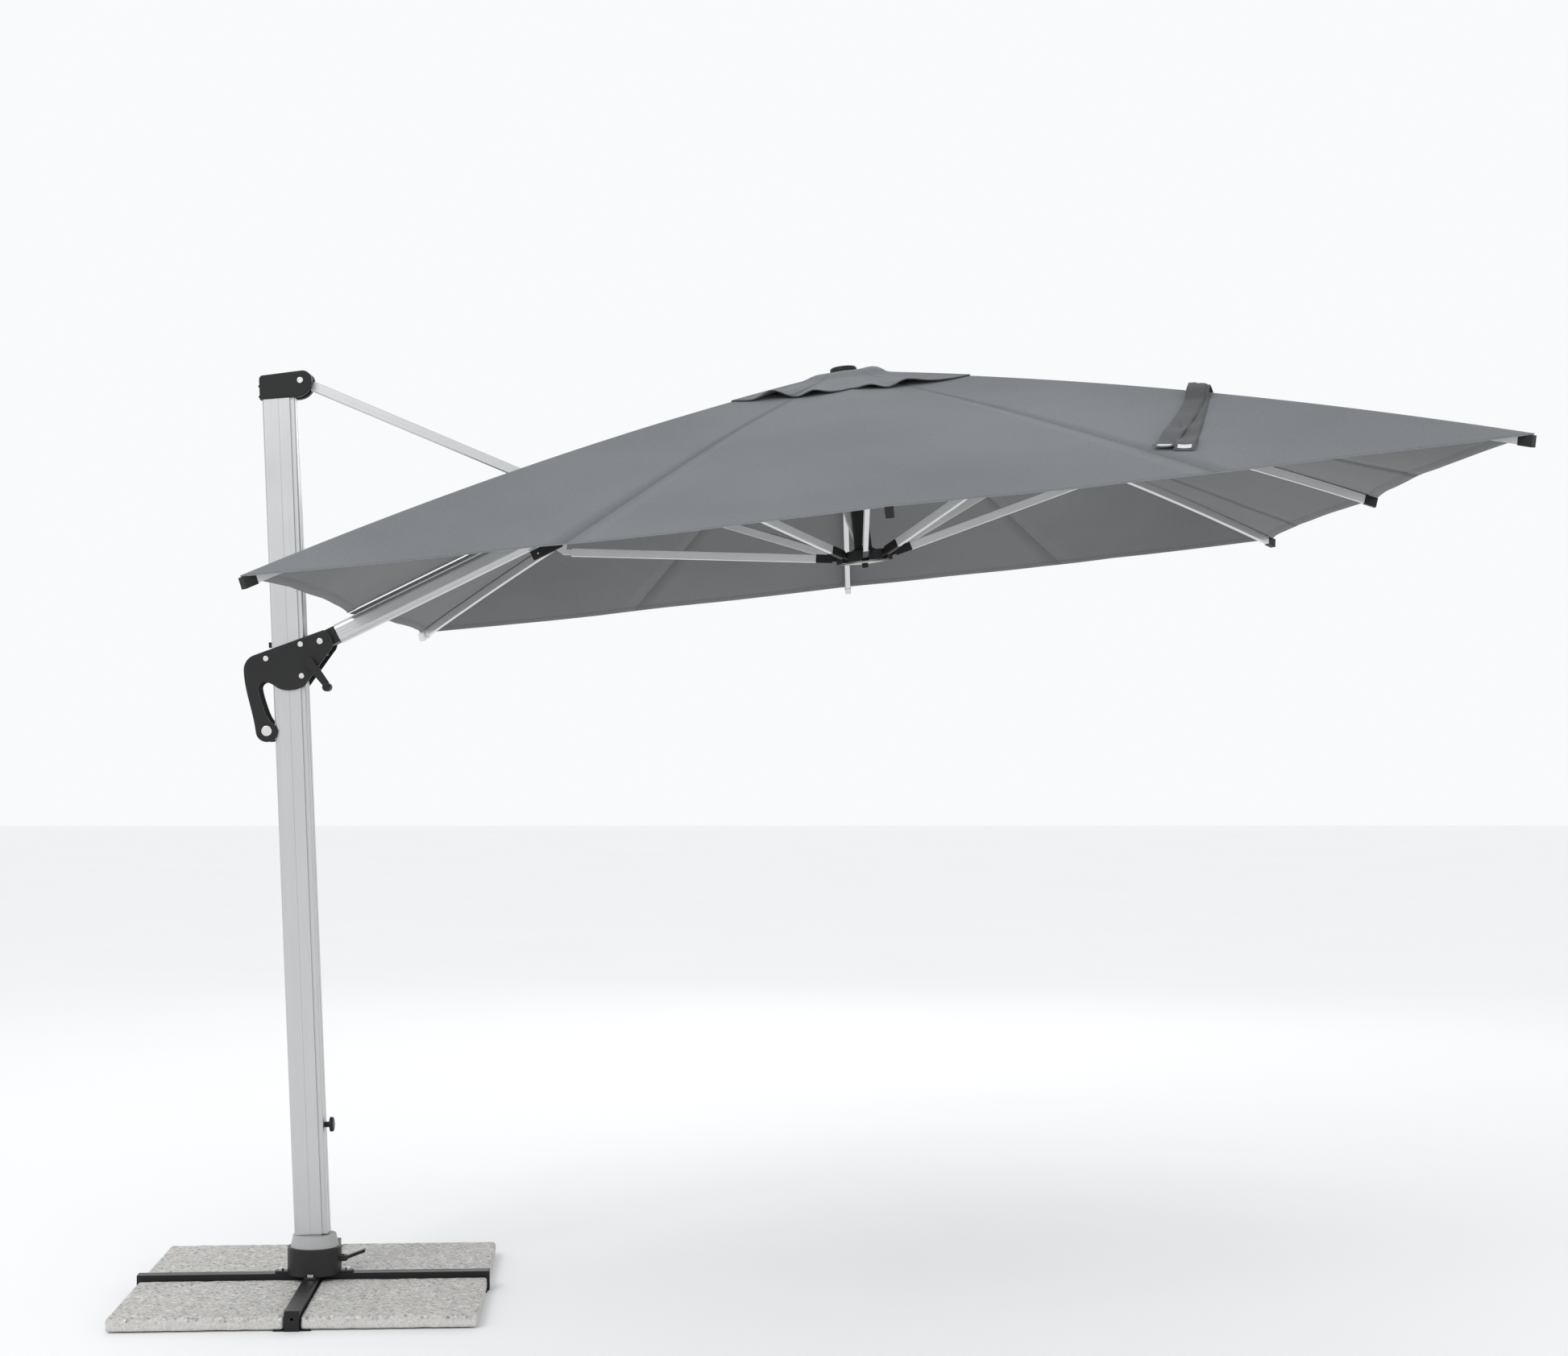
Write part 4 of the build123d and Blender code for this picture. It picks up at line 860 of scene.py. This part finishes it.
for y_name, y_sign in (("front", -1), ("back", 1)):
    for x_name, x_sign in (("left", -1), ("right", 1)):
        slab(f"{y_name}_{x_name}", x_sign, y_sign)


# ---- floor, light and camera ----
FLOOR_REACH = 40.0


def floor_surface():
    """Plain pale paint with faint blotches."""
    made, tree, shader, place = material("floor_pale")
    blotch = noise_of(tree, place, 0.7)
    tone = blended(tree, blotch, (0.9, 0.9, 0.9, 1), (0.93, 0.93, 0.93, 1))
    rough = ranged(tree, noise_of(tree, place, 5.0), 0.6, 0.75)
    wire(tree, shader, Base_Color=tone, Roughness=rough)
    return made


signs = ((-1, -1), (1, -1), (1, 1), (-1, 1))
floor_corners = [(x * FLOOR_REACH, y * FLOOR_REACH, 0) for x, y in signs]
floor = new_object("floor", floor_corners, [(0, 1, 2, 3)], (floor_surface(),))

world = bpy.data.worlds.new("studio")
bpy.context.scene.world = world
world.use_nodes = True
sky = world.node_tree.nodes["Background"]
sky.inputs["Color"].default_value = (0.97, 0.985, 1.0, 1)
sky.inputs["Strength"].default_value = 0.97


def softbox(name, place, target, size, power):
    """A square area light that faces a point."""
    light = bpy.data.lights.new(name, "AREA")
    light.shape, light.size, light.energy = "SQUARE", size, power
    made = bpy.data.objects.new(name, light)
    made.location = place
    made.rotation_euler = (Vector(target) - Vector(place)).to_track_quat("-Z", "Y").to_euler()
    bpy.context.scene.collection.objects.link(made)


MIDDLE = (0.9, 0, 1.4)
softbox("key", (-3.2, -6.0, 6.5), MIDDLE, 3.0, 200)
softbox("fill", (6.5, -5.5, 3.0), MIDDLE, 4.0, 50)
softbox("back", (2.0, 7.0, 5.0), MIDDLE, 4.0, 60)

camera_data = bpy.data.cameras.new("camera")
camera_data.lens, camera_data.sensor_width = 57.81, 36
camera_data.clip_end = 200
camera = bpy.data.objects.new("camera", camera_data)
camera.location = (1.297, -7.28, 1.577)
camera.rotation_euler = (radians(91.45), 0, radians(-0.4))
bpy.context.scene.collection.objects.link(camera)
bpy.context.scene.camera = camera
bpy.context.scene.view_settings.view_transform = "Standard"
